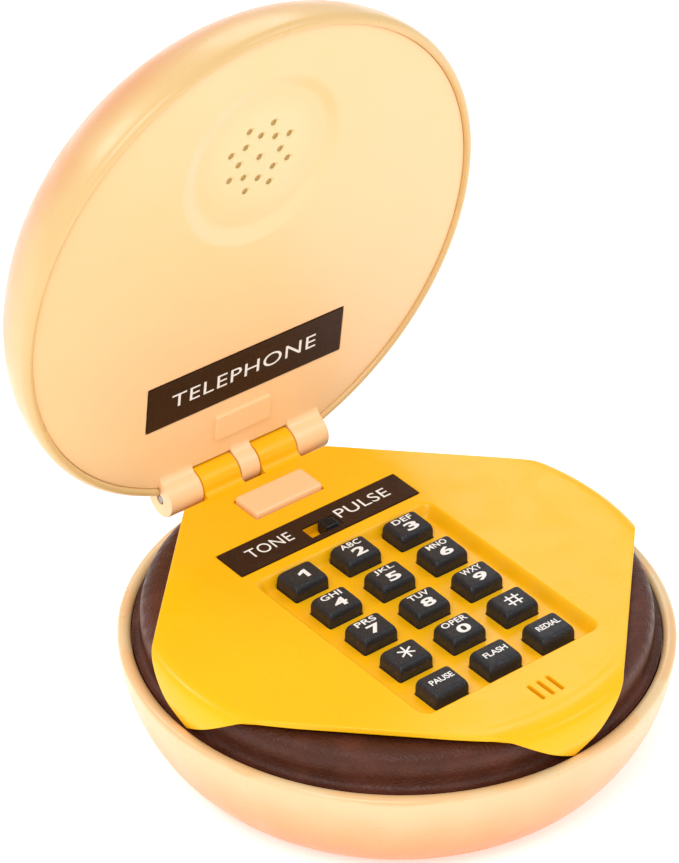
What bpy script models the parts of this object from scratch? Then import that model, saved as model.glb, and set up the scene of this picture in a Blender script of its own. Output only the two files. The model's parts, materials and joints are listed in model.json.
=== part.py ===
"""Novelty telephone shaped like a hamburger, modelled as its separate pieces.

Frame: origin at the middle of the base pad's resting face, +Z up, the hinge at +Y, the user at -Y.
The rest pose has the lid open. Lid pieces are modelled closed and hang on an empty on the hinge axis.
Every size and place is in millimetres; meshes and locations are turned into metres as they are made.
"""

import math

import bmesh
import bpy
from mathutils import Matrix, Vector

MM = 0.001
BIG_SEGMENTS = 48              # sides of the large turned pieces
SMALL_SEGMENTS = 16
SCREW_SEGMENTS = 10
MERGE_DISTANCE = 0.000005      # metres; closes the slivers a Boolean leaves
FLAT_ANGLE = math.radians(0.05)
GAP = 0.3                      # air between neighbouring pieces

# Bottom bun, a turned shell
BUN_RADIUS = 70.0
BUN_FLOOR_RADIUS = 52.0
BUN_BOTTOM_Z = 0.6
BUN_WIDEST_Z = 29.8
BUN_ROUNDNESS = 1.69           # exponent of the bun's side curve
BUN_WALL = 2.2
BUN_FLOOR_TOP_Z = 3.6
RIM_INNER_RADIUS = 66.6
RIM_TOP_Z = 31.1
LEDGE_Z = 27.0

PAD_RADIUS = 38.0
PAD_THICKNESS = 1.5

# Cheese plate: a square turned 45 degrees whose three free corners droop
PLATE_TOP_Z = 42.9
PLATE_THICKNESS = 1.8
PLATE_HALF_DIAGONAL = 81.2
PLATE_CENTRE_Y = -0.5
PLATE_FOLD_RADIUS = 64.4
PLATE_REAR_Y = 57.8
FLAP_THICKNESS = 1.3
REAR_WALL_HALF_WIDTH = 22.6    # the plate's downturned edge behind the hook key
REAR_WALL_Y = (55.7, 57.5)
REAR_WALL_FOOT_Z = 35.9

# Keypad
KEY_PITCH_X = 17.0
KEY_PITCH_Y = 13.5
KEY_MIDDLE_Y = -10.5
KEY_WIDTH = 10.1
KEY_DEPTH = 8.0
KEY_FLOOR_Z = 39.7
KEY_TOP_Z = 44.1
KEY_TRAVEL = 1.5
KEY_FLANGE = 0.9               # thickness of the rim that keeps a key under the plate
RECESS_HALF_WIDTH = 28.6
RECESS_FRONT_Y = -45.0
RECESS_REAR_Y = 22.8
RECESS_SLOPE = 3.0
FLOOR_UNDER_Z = 37.9
KEY_ROWS = (
    ("key_1", "key_2", "key_3"),
    ("key_4", "key_5", "key_6"),
    ("key_7", "key_8", "key_9"),
    ("key_star", "key_0", "key_hash"),
    ("key_pause", "key_flash", "key_redial"),
)

# Circuit board and mat
BOARD_TOP_Z = 32.6
BOARD_THICKNESS = 1.6
BOARD_HALF_WIDTH = 26.4
BOARD_FRONT_Y = -46.5
BOARD_REAR_Y = 52.0
MAT_BOTTOM_Z = BOARD_TOP_Z + GAP
MAT_SHEET = 1.0
BOARD_SCREW_SPOTS = [(sx * KEY_PITCH_X / 2, y) for y in (9.75, -30.75) for sx in (-1, 1)]

# Label strip and tone/pulse slider
LABEL_HALF_WIDTH = 28.65
LABEL_FRONT_Y = 26.1
LABEL_REAR_Y = 36.6
LABEL_TOP_Z = 43.1
SLOT_LEFT_X = -5.0
SLOT_RIGHT_X = 5.2
SLOT_FRONT_Y = 27.6
SLOT_REAR_Y = 32.4
SLIDER_TRAVEL = 4.8
SLIDER_STEM = (1.6, 3.2)       # the knob's stem from left to right, at the PULSE end

# Hook key
HOOK_HALF_WIDTH = 10.7
HOOK_FRONT_Y = 43.1
HOOK_REAR_Y = 52.5
HOOK_TOP_Z = 44.35
HOOK_TRAVEL = 1.25
HOOK_STEM_Z = 36.8             # foot of the stem that presses the switch

# Microphone
MIC_X = 1.5
MIC_Y = -54.15

# Hinge
HINGE_Y = 64.15
HINGE_Z = 43.65
KNUCKLE_RADIUS = 5.0
PIN_RADIUS = 1.3
PIN_HOLE_RADIUS = 1.38
CENTRE_KNUCKLE = 3.0           # half width of the lid's middle knuckle
BASE_KNUCKLE = (3.3, 15.1)
OUTER_KNUCKLE = (15.4, 25.7)
OPEN_ANGLE = 83.0

# Lid, described closed
LID_CENTRE_Y = -1.5
LID_RIM_Z = 43.45
LID_RADIUS = 70.1
LID_WIDEST = 2.2               # height of the widest circle above the rim
DOME_RISE = 39.0
LID_WALL = 2.2
COVER_RADIUS = 67.4
COVER_Z = LID_RIM_Z + 1.0      # outer face of the inner cover
COVER_THICKNESS = 2.0
SPEAKER_X = -1.0
SPEAKER_Y = -34.5
LID_LABEL_HALF_WIDTH = 31.0
LID_LABEL_FRONT_Y = 26.2
LID_LABEL_REAR_Y = 40.2
LID_SCREW_SPOTS = [(-22.0, 33.2), (22.0, 33.2)]
RETAINER_SPOTS = [(SPEAKER_X - 20.5, SPEAKER_Y), (SPEAKER_X + 20.5, SPEAKER_Y)]

# Screws and posts
BASE_SCREW_SPOTS = [(sx * 31.0, sy * 31.0) for sy in (-1, 1) for sx in (-1, 1)]
POST_JOINT_Z = 14.0            # where the bun's boss meets the plate's post
SCREW_HOLE_RADIUS = 1.7
SCREW_RADIUS = 1.4

# Line jack and ringer switch
JACK_HALF_WIDTH = 6.5
JACK_Y = (48.0, 61.6)
JACK_Z = (8.0, 19.6)
RINGER_X = -46.0
RINGER_TRAVEL = 5.0
RINGER_SLOT_LENGTH = 10.0


# ---------------------------------------------------------------- helpers

def make_material(name, colour, roughness, metallic=0.0):
    material = bpy.data.materials.new(name)
    material.use_nodes = True
    shader = material.node_tree.nodes["Principled BSDF"]
    shader.inputs["Base Color"].default_value = (*colour, 1.0)
    shader.inputs["Roughness"].default_value = roughness
    shader.inputs["Metallic"].default_value = metallic
    material.diffuse_color = (*colour, 1.0)
    return material


def add_object(name, vertices, faces, material=None):
    """Make an object from millimetre vertices, with its faces turned outward."""
    mesh = bpy.data.meshes.new(name)
    work = bmesh.new()
    made = [work.verts.new(Vector(vertex) * MM) for vertex in vertices]
    for face in faces:
        work.faces.new([made[index] for index in face])
    bmesh.ops.recalc_face_normals(work, faces=work.faces)
    bmesh.ops.triangulate(work, faces=work.faces, ngon_method="EAR_CLIP")
    work.to_mesh(mesh)
    work.free()
    if material:
        mesh.materials.append(material)
    thing = bpy.data.objects.new(name, mesh)
    bpy.context.scene.collection.objects.link(thing)
    return thing


def turned(name, profile, material=None, segments=BIG_SEGMENTS, centre=(0.0, 0.0)):
    """Spin a closed (radius, z) outline about a vertical axis."""
    vertices = []
    rings = []
    for radius, z in profile:
        count = 1 if radius == 0 else segments
        rings.append([len(vertices) + index for index in range(count)])
        for index in range(count):
            angle = 2 * math.pi * index / segments
            x = centre[0] + radius * math.cos(angle)
            y = centre[1] + radius * math.sin(angle)
            vertices.append((x, y, z))
    faces = []
    for ring, following in zip(rings, rings[1:] + rings[:1]):
        for index in range(segments):
            after = (index + 1) % segments
            corners = [
                ring[index % len(ring)], ring[after % len(ring)],
                following[after % len(following)], following[index % len(following)],
            ]
            face = list(dict.fromkeys(corners))
            if len(face) > 2:
                faces.append(face)
    return add_object(name, vertices, faces, material)


def cylinder(name, centre, radius, z_low, z_high, material=None, segments=SMALL_SEGMENTS):
    profile = [(0, z_low), (radius, z_low), (radius, z_high), (0, z_high)]
    return turned(name, profile, material, segments, centre)


def bar_along_x(name, x_low, x_high, y, z, radius, material=None, segments=24):
    """A round bar whose axis runs along X."""
    vertices = []
    for x in (x_low, x_high):
        for index in range(segments):
            angle = 2 * math.pi * (index + 0.5) / segments
            vertices.append((x, y + radius * math.cos(angle), z + radius * math.sin(angle)))
    faces = [list(range(segments)), list(range(segments, 2 * segments))]
    for index in range(segments):
        after = (index + 1) % segments
        faces.append([index, after, segments + after, segments + index])
    return add_object(name, vertices, faces, material)


def stacked(name, layers, material=None):
    """Join rectangles (z, x_low, x_high, y_low, y_high), bottom to top, into one solid."""
    vertices = []
    for z, x_low, x_high, y_low, y_high in layers:
        vertices += [(x_low, y_low, z), (x_high, y_low, z), (x_high, y_high, z), (x_low, y_high, z)]
    top = 4 * (len(layers) - 1)
    faces = [[0, 1, 2, 3], [top, top + 1, top + 2, top + 3]]
    for layer in range(len(layers) - 1):
        for side in range(4):
            after = (side + 1) % 4
            low = 4 * layer
            faces.append([low + side, low + after, low + 4 + after, low + 4 + side])
    return add_object(name, vertices, faces, material)


def block(name, x_low, x_high, y_low, y_high, z_low, z_high, material=None):
    sides = (x_low, x_high, y_low, y_high)
    return stacked(name, [(z_low, *sides), (z_high, *sides)], material)


def slab(name, outline, z_low, z_high, material=None):
    """Extrude a flat outline of (x, y) points."""
    count = len(outline)
    vertices = [(x, y, z_low) for x, y in outline] + [(x, y, z_high) for x, y in outline]
    faces = [list(range(count)), list(range(count, 2 * count))]
    for index in range(count):
        after = (index + 1) % count
        faces.append([index, after, count + after, count + index])
    return add_object(name, vertices, faces, material)


def gather(tools):
    """Put separate tool shapes into one mesh, so that one Boolean takes them all."""
    work = bmesh.new()
    for tool in tools:
        work.from_mesh(tool.data)
    mesh = bpy.data.meshes.new("tool")
    work.to_mesh(mesh)
    work.free()
    for tool in tools:
        bpy.data.objects.remove(tool)
    gathered = bpy.data.objects.new("tool", mesh)
    bpy.context.scene.collection.objects.link(gathered)
    return gathered


def combine(thing, operation, tools):
    """Cut tools from a thing (DIFFERENCE) or grow it by them (UNION) and keep the result."""
    tool = gather(tools)
    modifier = thing.modifiers.new("combine", "BOOLEAN")
    modifier.operation = operation
    modifier.solver = "EXACT"
    modifier.use_self = operation == "UNION"
    modifier.object = tool
    evaluated = thing.evaluated_get(bpy.context.evaluated_depsgraph_get())
    mesh = bpy.data.meshes.new_from_object(evaluated)
    work = bmesh.new()
    work.from_mesh(mesh)
    bmesh.ops.remove_doubles(work, verts=work.verts, dist=MERGE_DISTANCE)
    bmesh.ops.dissolve_degenerate(work, edges=work.edges, dist=MERGE_DISTANCE)
    bmesh.ops.dissolve_limit(work, angle_limit=FLAT_ANGLE, verts=work.verts, edges=work.edges)
    bmesh.ops.triangulate(work, faces=work.faces)
    work.to_mesh(mesh)
    work.free()
    thing.modifiers.clear()
    thing.data = mesh
    bpy.data.objects.remove(tool)
    return thing


def cut(thing, *tools):
    return combine(thing, "DIFFERENCE", tools)


def grow(thing, *tools):
    return combine(thing, "UNION", tools)


def move_origin(thing, x, y, z):
    """Put the object's origin at a point, leaving its surface where it is."""
    point = Vector((x, y, z)) * MM
    thing.data.transform(Matrix.Translation(-point))
    thing.location = point
    return thing


def finish_shading():
    for thing in bpy.data.objects:
        if thing.type == "MESH":
            thing.data.shade_smooth()
            thing.data.set_sharp_from_angle(angle=math.radians(32))


# ---------------------------------------------------------------- turned outlines

def bun_radius_at(z):
    """Outer radius of the bottom bun at a height."""
    drop = (BUN_WIDEST_Z - z) / (BUN_WIDEST_Z - BUN_BOTTOM_Z + 0.8)
    swell = max(0.0, 1 - drop ** BUN_ROUNDNESS) ** (1 / BUN_ROUNDNESS)
    return BUN_FLOOR_RADIUS + (BUN_RADIUS - BUN_FLOOR_RADIUS) * swell


def lid_radius_at(height, wall=0.0):
    """Radius of the top bun at a height above its rim, less a wall."""
    share = min(1.0, max(0.0, (height - LID_WIDEST) / (DOME_RISE - wall)))
    return (LID_RADIUS - wall) * math.sqrt(1 - share * share)


def square_edge_angle(radius):
    """Half angle, seen from the centre, that a plate corner spans at a radius."""
    reach = PLATE_HALF_DIAGONAL / (math.sqrt(2) * radius)
    return math.asin(min(1.0, reach)) - math.pi / 4


# ---------------------------------------------------------------- base pieces

def make_bottom_bun(material):
    pad_seat = PAD_RADIUS + GAP
    outline = [(0, PAD_THICKNESS + GAP), (pad_seat, PAD_THICKNESS + GAP)]
    outline += [(pad_seat, BUN_BOTTOM_Z), (BUN_FLOOR_RADIUS, BUN_BOTTOM_Z)]
    side_levels = [1.4, 3.2, 6.0, 10.0, 15.0, 20.5, 25.6]
    outline += [(bun_radius_at(z), z) for z in side_levels]
    outline += [(BUN_RADIUS, BUN_WIDEST_Z), (69.4, 30.7), (68.4, RIM_TOP_Z), (67.3, 30.9)]
    outline += [(RIM_INNER_RADIUS, 30.2), (RIM_INNER_RADIUS, LEDGE_Z), (63.5, LEDGE_Z), (63.5, 25.2)]
    inner_levels = [21.5, 15.5, 10.0, 6.0]
    outline += [(bun_radius_at(z) - BUN_WALL, z) for z in inner_levels]
    outline += [(54.5, BUN_FLOOR_TOP_Z), (0, BUN_FLOOR_TOP_Z)]
    bun = turned("bottom_bun", outline, material)
    bosses = []
    holes = []
    for x, y in BASE_SCREW_SPOTS:
        bosses.append(cylinder("boss", (x, y), 4.6, BUN_BOTTOM_Z + 1, POST_JOINT_Z))
        recess_top = POST_JOINT_Z - 4.0
        stepped = [(0, -1), (3.3, -1), (3.3, recess_top), (SCREW_HOLE_RADIUS, recess_top)]
        stepped += [(SCREW_HOLE_RADIUS, POST_JOINT_Z + 1), (0, POST_JOINT_Z + 1)]
        holes.append(turned("hole", stepped, None, SMALL_SEGMENTS, (x, y)))
    grow(bun, *bosses)
    jack_side = JACK_HALF_WIDTH + GAP
    holes.append(block("window", -jack_side, jack_side, 56, 75, JACK_Z[0] - GAP, JACK_Z[1] + GAP))
    slot_end = RINGER_SLOT_LENGTH / 2
    holes.append(block("slot", RINGER_X - 2, RINGER_X + 2, -slot_end, slot_end, -1, BUN_FLOOR_TOP_Z + 1))
    return cut(bun, *holes)


def make_patty_ring(material):
    outline = [
        (55.0, 40.8), (60.5, 40.7), (63.0, 39.8), (64.0, 37.3), (63.4, 34.4), (62.3, 31.7),
        (62.7, 30.0), (64.5, 30.0), (65.4, 30.9), (66.3, 30.6), (66.3, LEDGE_Z + GAP),
        (60.6, LEDGE_Z + GAP), (60.4, 32.0), (61.6, 37.0), (60.2, 38.9), (55.0, 38.9),
    ]
    ring = turned("patty_ring", outline, material)
    notch_floor = REAR_WALL_FOOT_Z - GAP
    knuckle_room = OUTER_KNUCKLE[1] + 0.6
    cut(ring, block("knuckle_notch", -knuckle_room, knuckle_room, 58.7, 75, notch_floor, 45))
    wall_room = REAR_WALL_HALF_WIDTH + 0.4
    cut(ring, block("wall_notch", -wall_room, wall_room, REAR_WALL_Y[0] - GAP, 75, notch_floor, 45))
    return cut(ring, cylinder("mic_notch", (MIC_X, MIC_Y), 5.2, 36.0, 45))


def plate_outline():
    """The flat part of the cheese: a square cut by the fold circle and by the hinge edge."""
    half = square_edge_angle(PLATE_FOLD_RADIUS)
    steps = 6
    points = []
    for corner in (-90, 0):
        for step in range(steps + 1):
            angle = math.radians(corner) + half * (2 * step / steps - 1)
            x = PLATE_FOLD_RADIUS * math.cos(angle)
            points.append((x, PLATE_CENTRE_Y + PLATE_FOLD_RADIUS * math.sin(angle)))
    rear_x = PLATE_HALF_DIAGONAL - (PLATE_REAR_Y - PLATE_CENTRE_Y)
    points += [(rear_x, PLATE_REAR_Y), (-rear_x, PLATE_REAR_Y)]
    for step in range(steps + 1):
        angle = math.pi + half * (2 * step / steps - 1)
        x = PLATE_FOLD_RADIUS * math.cos(angle)
        points.append((x, PLATE_CENTRE_Y + PLATE_FOLD_RADIUS * math.sin(angle)))
    return points


def make_flap(corner_degrees):
    """One drooping corner: it bends over the patty's edge and narrows to a tip."""
    levels = [                 # radius, z and half width in degrees of the outer face
        (61.5, 42.3, 20.5), (64.0, 42.75, 18.6), (65.6, 42.1, 16.4), (66.7, 40.2, 13.8),
        (67.4, 37.0, 9.4), (67.3, 34.0, 5.0), (66.7, 31.5, 0.7),
    ]
    columns = 6
    outer = []
    inner = []
    for index, (radius, z, half) in enumerate(levels):
        before = levels[max(0, index - 1)]
        after = levels[min(len(levels) - 1, index + 1)]
        run = Vector((after[0] - before[0], after[1] - before[1])).normalized()
        depth = FLAP_THICKNESS
        inside = (radius + run.y * depth, z - run.x * depth)
        for store, (r, height) in ((outer, (radius, z)), (inner, inside)):
            for column in range(columns + 1):
                share = 2 * column / columns - 1
                angle = math.radians(corner_degrees + half * share)
                store.append((r * math.cos(angle), PLATE_CENTRE_Y + r * math.sin(angle), height))
    across = columns + 1
    offset = len(outer)
    faces = []
    for row in range(len(levels) - 1):
        for column in range(columns):
            corner = row * across + column
            quad = [corner, corner + 1, corner + across + 1, corner + across]
            faces.append(quad)
            faces.append([offset + index for index in reversed(quad)])
    border = list(range(across))
    border += [row * across + columns for row in range(1, len(levels))]
    border += [(len(levels) - 1) * across + column for column in reversed(range(columns))]
    border += [row * across for row in reversed(range(1, len(levels) - 1))]
    for here, there in zip(border, border[1:] + border[:1]):
        faces.append([here, there, offset + there, offset + here])
    return add_object("flap", outer + inner, faces)


def recess_tub(name, z_low, z_high, margin):
    """A tapered box with the keypad recess's outline, grown by a margin all round."""
    layers = []
    for z in (z_low, z_high):
        inset = RECESS_SLOPE * (PLATE_TOP_Z - z) / (PLATE_TOP_Z - KEY_FLOOR_Z) - margin
        side = RECESS_HALF_WIDTH - inset
        layers.append((z, -side, side, RECESS_FRONT_Y + inset, RECESS_REAR_Y - inset))
    return stacked(name, layers)


def key_centre(row, column):
    return (column - 1) * KEY_PITCH_X, KEY_MIDDLE_Y + (2 - row) * KEY_PITCH_Y


def make_cheese_plate(material):
    under = PLATE_TOP_Z - PLATE_THICKNESS
    plate = slab("cheese_plate", plate_outline(), under, PLATE_TOP_Z, material)
    additions = [make_flap(corner) for corner in (180, 270, 0)]
    additions.append(recess_tub("tub", FLOOR_UNDER_Z, under + 0.4, 1.6))
    additions.append(block("slider_boss", -8, 8, 25.4, 34.6, 39.2, under + 0.5))
    wall_sides = (-REAR_WALL_HALF_WIDTH, REAR_WALL_HALF_WIDTH, *REAR_WALL_Y)
    additions.append(block("rear_wall", *wall_sides, REAR_WALL_FOOT_Z, under + 0.5))
    for x, y in BASE_SCREW_SPOTS:
        additions.append(cylinder("post", (x, y), 3.6, POST_JOINT_Z + GAP, under + 0.5))
    for x, y in BOARD_SCREW_SPOTS:
        additions.append(cylinder("post", (x, y), 2.1, BOARD_TOP_Z + GAP, FLOOR_UNDER_Z + 0.5, None, 12))
    additions.append(cylinder("mic_collar", (MIC_X, MIC_Y), 4.9, 37.5, under + 0.5))
    for side in (-1, 1):
        low, high = sorted((side * BASE_KNUCKLE[0], side * BASE_KNUCKLE[1]))
        additions.append(bar_along_x("knuckle", low, high, HINGE_Y, HINGE_Z, KNUCKLE_RADIUS))
        additions.append(block("web", low, high, PLATE_REAR_Y - 1, 62.5, under, PLATE_TOP_Z))
    for tool in additions:
        grow(plate, tool)
    cut(plate, recess_tub("recess", KEY_FLOOR_Z, PLATE_TOP_Z + 0.5, 0.0))
    cut(plate, cylinder("mic_seat", (MIC_X, MIC_Y), 4.3, 36, under))
    openings = []
    for row in range(5):
        for column in range(3):
            x, y = key_centre(row, column)
            half_x = KEY_WIDTH / 2 + GAP
            half_y = KEY_DEPTH / 2 + GAP
            openings.append(block("hole", x - half_x, x + half_x, y - half_y, y + half_y, 36, 41))
    openings.append(block("label_seat", -LABEL_HALF_WIDTH - GAP, LABEL_HALF_WIDTH + GAP,
                          LABEL_FRONT_Y - GAP, LABEL_REAR_Y + GAP, LABEL_TOP_Z - 0.7, 45))
    openings.append(block("hook_hole", -HOOK_HALF_WIDTH - GAP, HOOK_HALF_WIDTH + GAP,
                          HOOK_FRONT_Y - GAP, HOOK_REAR_Y + GAP, 40, 45))
    for x, y in BASE_SCREW_SPOTS:
        openings.append(cylinder("pilot", (x, y), SCREW_HOLE_RADIUS, 10, 27))
    for x, y in BOARD_SCREW_SPOTS:
        openings.append(cylinder("pilot", (x, y), 1.0, 30, 37, None, 8))
    for index in range(3):
        x = MIC_X + (index - 1) * 3.0
        openings.append(block("mic_slot", x - 0.45, x + 0.45, -57.2, -51.1, 40, 45))
    openings.append(bar_along_x("bore", -30, 30, HINGE_Y, HINGE_Z, PIN_HOLE_RADIUS, None, 16))
    cut(plate, *openings)
    cut(plate, block("pocket", SLOT_LEFT_X, SLOT_RIGHT_X, SLOT_FRONT_Y, SLOT_REAR_Y, 40.9, 45))
    slot_left = SLIDER_STEM[0] - SLIDER_TRAVEL - GAP
    return cut(plate, block("stem_slot", slot_left, SLIDER_STEM[1] + GAP, 29.0, 31.0, 38, 42))


def make_label_strip(material):
    strip = block("tone_pulse_label", -LABEL_HALF_WIDTH, LABEL_HALF_WIDTH,
                  LABEL_FRONT_Y, LABEL_REAR_Y, LABEL_TOP_Z - 0.4, LABEL_TOP_Z, material)
    return cut(strip, block("window", SLOT_LEFT_X, SLOT_RIGHT_X, SLOT_FRONT_Y, SLOT_REAR_Y, 40, 45))


def make_board(material):
    board = block("main_board", -BOARD_HALF_WIDTH, BOARD_HALF_WIDTH, BOARD_FRONT_Y, BOARD_REAR_Y,
                  BOARD_TOP_Z - BOARD_THICKNESS, BOARD_TOP_Z, material)
    return cut(board, *[cylinder("hole", spot, 1.2, 30, 34, None, 8) for spot in BOARD_SCREW_SPOTS])


def make_keypad_mat(material):
    sheet_top = MAT_BOTTOM_Z + MAT_SHEET
    dome_top = FLOOR_UNDER_Z - GAP - KEY_FLANGE - KEY_TRAVEL - GAP
    mat = block("keypad_mat", -25.4, 25.4, -44.4, 22.8, MAT_BOTTOM_Z, sheet_top, material)
    domes = []
    for row in range(5):
        for column in range(3):
            x, y = key_centre(row, column)
            low = (sheet_top - 0.2, x - 4.2, x + 4.2, y - 3.2, y + 3.2)
            high = (dome_top, x - 3.2, x + 3.2, y - 2.2, y + 2.2)
            domes.append(stacked("dome", [low, high]))
    grow(mat, *domes)
    return cut(mat, *[cylinder("hole", spot, 2.6, 30, 36, None, 12) for spot in BOARD_SCREW_SPOTS])


def make_switches(plastic):
    block("tone_pulse_switch", -6, 6, 27, 33, BOARD_TOP_Z + GAP, 36.2, plastic)
    body = block("hook_switch", -6, 6, 44, 51, BOARD_TOP_Z + GAP, 34.6, plastic)
    plunger_top = HOOK_STEM_Z - HOOK_TRAVEL - GAP
    grow(body, cylinder("plunger", (0, 47.8), 1.8, 34, plunger_top))


def make_microphone(metal, rubber):
    cylinder("microphone_capsule", (MIC_X, MIC_Y), 3.0, 37.0, 40.2, metal, 24)
    cup = [(0, 35.6), (3.9, 35.6), (3.9, 40.2), (3.3, 40.2), (3.3, 36.7), (0, 36.7)]
    turned("microphone_boot", cup, rubber, 24, (MIC_X, MIC_Y))


def make_base_internals(materials):
    floor = BUN_FLOOR_TOP_Z + GAP
    case = [(0, floor), (12, floor), (12, 8.4), (4, 8.4), (4, 7.6), (0, 7.6)]
    turned("ringer_buzzer", case, materials["black plastic"], 20, (-14.0, 22.0))
    block("ballast_weight", -25.4, 25.4, -46, -2, floor, 11.8, materials["steel"])
    jack_box = (-JACK_HALF_WIDTH, JACK_HALF_WIDTH, *JACK_Y, *JACK_Z)
    body = block("line_jack", *jack_box, materials["black plastic"])
    socket = block("socket", -4.9, 4.9, JACK_Y[0] + 2, 70, 10.4, 17.2)
    latch = block("latch", -1.8, 1.8, JACK_Y[0] + 5, 70, 17.0, 18.4)
    cut(body, socket)
    cut(body, latch)
    block("ringer_switch", RINGER_X - 4, RINGER_X + 4, -7, 7, floor + 0.1, 8.0, materials["black plastic"])
    cylinder("base_pad", (0, 0), PAD_RADIUS, 0, PAD_THICKNESS, materials["rubber"], BIG_SEGMENTS)


def make_screw(name, spot, head_z, head_height, head_radius, tip_z, radius, material):
    """A screw whose head is at head_z and whose shank runs up to tip_z."""
    top = head_z + head_height
    outline = [(0, head_z), (head_radius, head_z), (head_radius, top), (radius, top)]
    outline += [(radius, tip_z - 1.0), (0, tip_z)]
    return turned(name, outline, material, SCREW_SEGMENTS, spot)


def make_base_screws(metal):
    for index, spot in enumerate(BASE_SCREW_SPOTS):
        head = POST_JOINT_Z - 4.0 - GAP - 1.8
        make_screw(f"base_screw_{index + 1}", spot, head, 1.8, 2.8, 25.0, SCREW_RADIUS, metal)
    for index, spot in enumerate(BOARD_SCREW_SPOTS):
        head = BOARD_TOP_Z - BOARD_THICKNESS - GAP - 1.2
        make_screw(f"board_screw_{index + 1}", spot, head, 1.2, 1.9, 36.4, 0.75, metal)


# ---------------------------------------------------------------- moving pieces on the base

def make_key(name, x, y, material):
    """A keycap with a flange that keeps it under the plate."""
    flange_top = FLOOR_UNDER_Z - GAP

    def layer(z, width, depth, shift=0.0):
        return (z, x - width / 2, x + width / 2, y - depth / 2 + shift, y + depth / 2)

    layers = [
        layer(flange_top - KEY_FLANGE, KEY_WIDTH + 1.7, KEY_DEPTH + 1.8),
        layer(flange_top, KEY_WIDTH + 1.7, KEY_DEPTH + 1.8),
        layer(flange_top + 0.02, KEY_WIDTH, KEY_DEPTH),
        layer(KEY_TOP_Z - 1.6, KEY_WIDTH, KEY_DEPTH),
        layer(KEY_TOP_Z - 0.5, KEY_WIDTH - 0.6, KEY_DEPTH, 0.7),
        layer(KEY_TOP_Z, KEY_WIDTH - 1.8, KEY_DEPTH - 0.8, 1.2),
    ]
    key = stacked(name, layers, material)
    return move_origin(key, x, y, KEY_FLOOR_Z)


def make_keys(material):
    for row, names in enumerate(KEY_ROWS):
        for column, name in enumerate(names):
            make_key(name, *key_centre(row, column), material)


def make_hook_key(material):
    under = PLATE_TOP_Z - PLATE_THICKNESS - GAP
    middle_y = (HOOK_FRONT_Y + HOOK_REAR_Y) / 2

    def layer(z, extra):
        half = HOOK_HALF_WIDTH + extra
        return (z, -half, half, HOOK_FRONT_Y - extra, HOOK_REAR_Y + extra)

    layers = [layer(under - KEY_FLANGE, 1.1), layer(under, 1.1), layer(under + 0.02, 0.0)]
    layers += [layer(HOOK_TOP_Z - 0.6, 0.0), layer(HOOK_TOP_Z, -0.6)]
    key = stacked("hook_key", layers, material)
    grow(key, cylinder("stem", (0, middle_y), 1.5, HOOK_STEM_Z, under - 0.5))
    return move_origin(key, 0, middle_y, PLATE_TOP_Z)


def make_sliders(material):
    right = SLOT_RIGHT_X - GAP
    left = SLOT_LEFT_X + GAP + SLIDER_TRAVEL
    layers = [
        (36.5, *SLIDER_STEM, 29.4, 30.6), (41.2, *SLIDER_STEM, 29.4, 30.6),
        (41.22, left, right, SLOT_FRONT_Y + GAP, SLOT_REAR_Y - GAP),
        (43.6, left, right, SLOT_FRONT_Y + GAP, SLOT_REAR_Y - GAP),
        (44.0, left + 0.4, right - 0.4, SLOT_FRONT_Y + 0.7, SLOT_REAR_Y - 0.7),
    ]
    move_origin(stacked("tone_pulse_knob", layers, material), (left + right) / 2, 30.0, 41.2)
    front = -RINGER_SLOT_LENGTH / 2 + GAP
    rear = RINGER_SLOT_LENGTH / 2 - GAP - RINGER_TRAVEL
    knob = block("ringer_knob", RINGER_X - 1.7, RINGER_X + 1.7, front, rear, 1.0, BUN_FLOOR_TOP_Z, material)
    move_origin(knob, RINGER_X, (front + rear) / 2, 1.0)


# ---------------------------------------------------------------- lid pieces, modelled closed

def make_top_bun(material):
    rim = LID_RIM_Z
    seat = COVER_RADIUS + GAP
    heights = [LID_WIDEST, 8.0, 14.5, 21.0, 27.0, 32.5, 36.6, 39.4, 40.8]
    crown = LID_WIDEST + DOME_RISE
    outline = [(seat, rim + 0.2), (68.5, rim), (69.6, rim + 0.7)]
    outline += [(lid_radius_at(height), rim + height) for height in heights]
    outline += [(0, rim + crown), (0, rim + crown - LID_WALL)]
    inner_heights = [38.0, 35.0, 30.0, 24.0, 16.5, 9.0]
    outline += [(lid_radius_at(height, LID_WALL), rim + height) for height in inner_heights]
    outline += [(66.0, rim + 5.6), (66.0, COVER_Z + COVER_THICKNESS + GAP)]
    outline += [(seat, COVER_Z + COVER_THICKNESS + GAP)]
    bun = turned("top_bun", outline, material, BIG_SEGMENTS, (0, LID_CENTRE_Y))
    posts = [cylinder("post", spot, 3.2, COVER_Z + 5.3, LID_RIM_Z + 31.5) for spot in LID_SCREW_SPOTS]
    grow(bun, *posts)
    holes = [cylinder("pilot", spot, SCREW_HOLE_RADIUS, 45, 61) for spot in LID_SCREW_SPOTS]
    reach = OUTER_KNUCKLE[1] + 0.5
    holes.append(block("hinge_notch", -reach, reach, 57.5, 75, 42, HINGE_Z + KNUCKLE_RADIUS + 0.5))
    return cut(bun, *holes)


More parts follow.
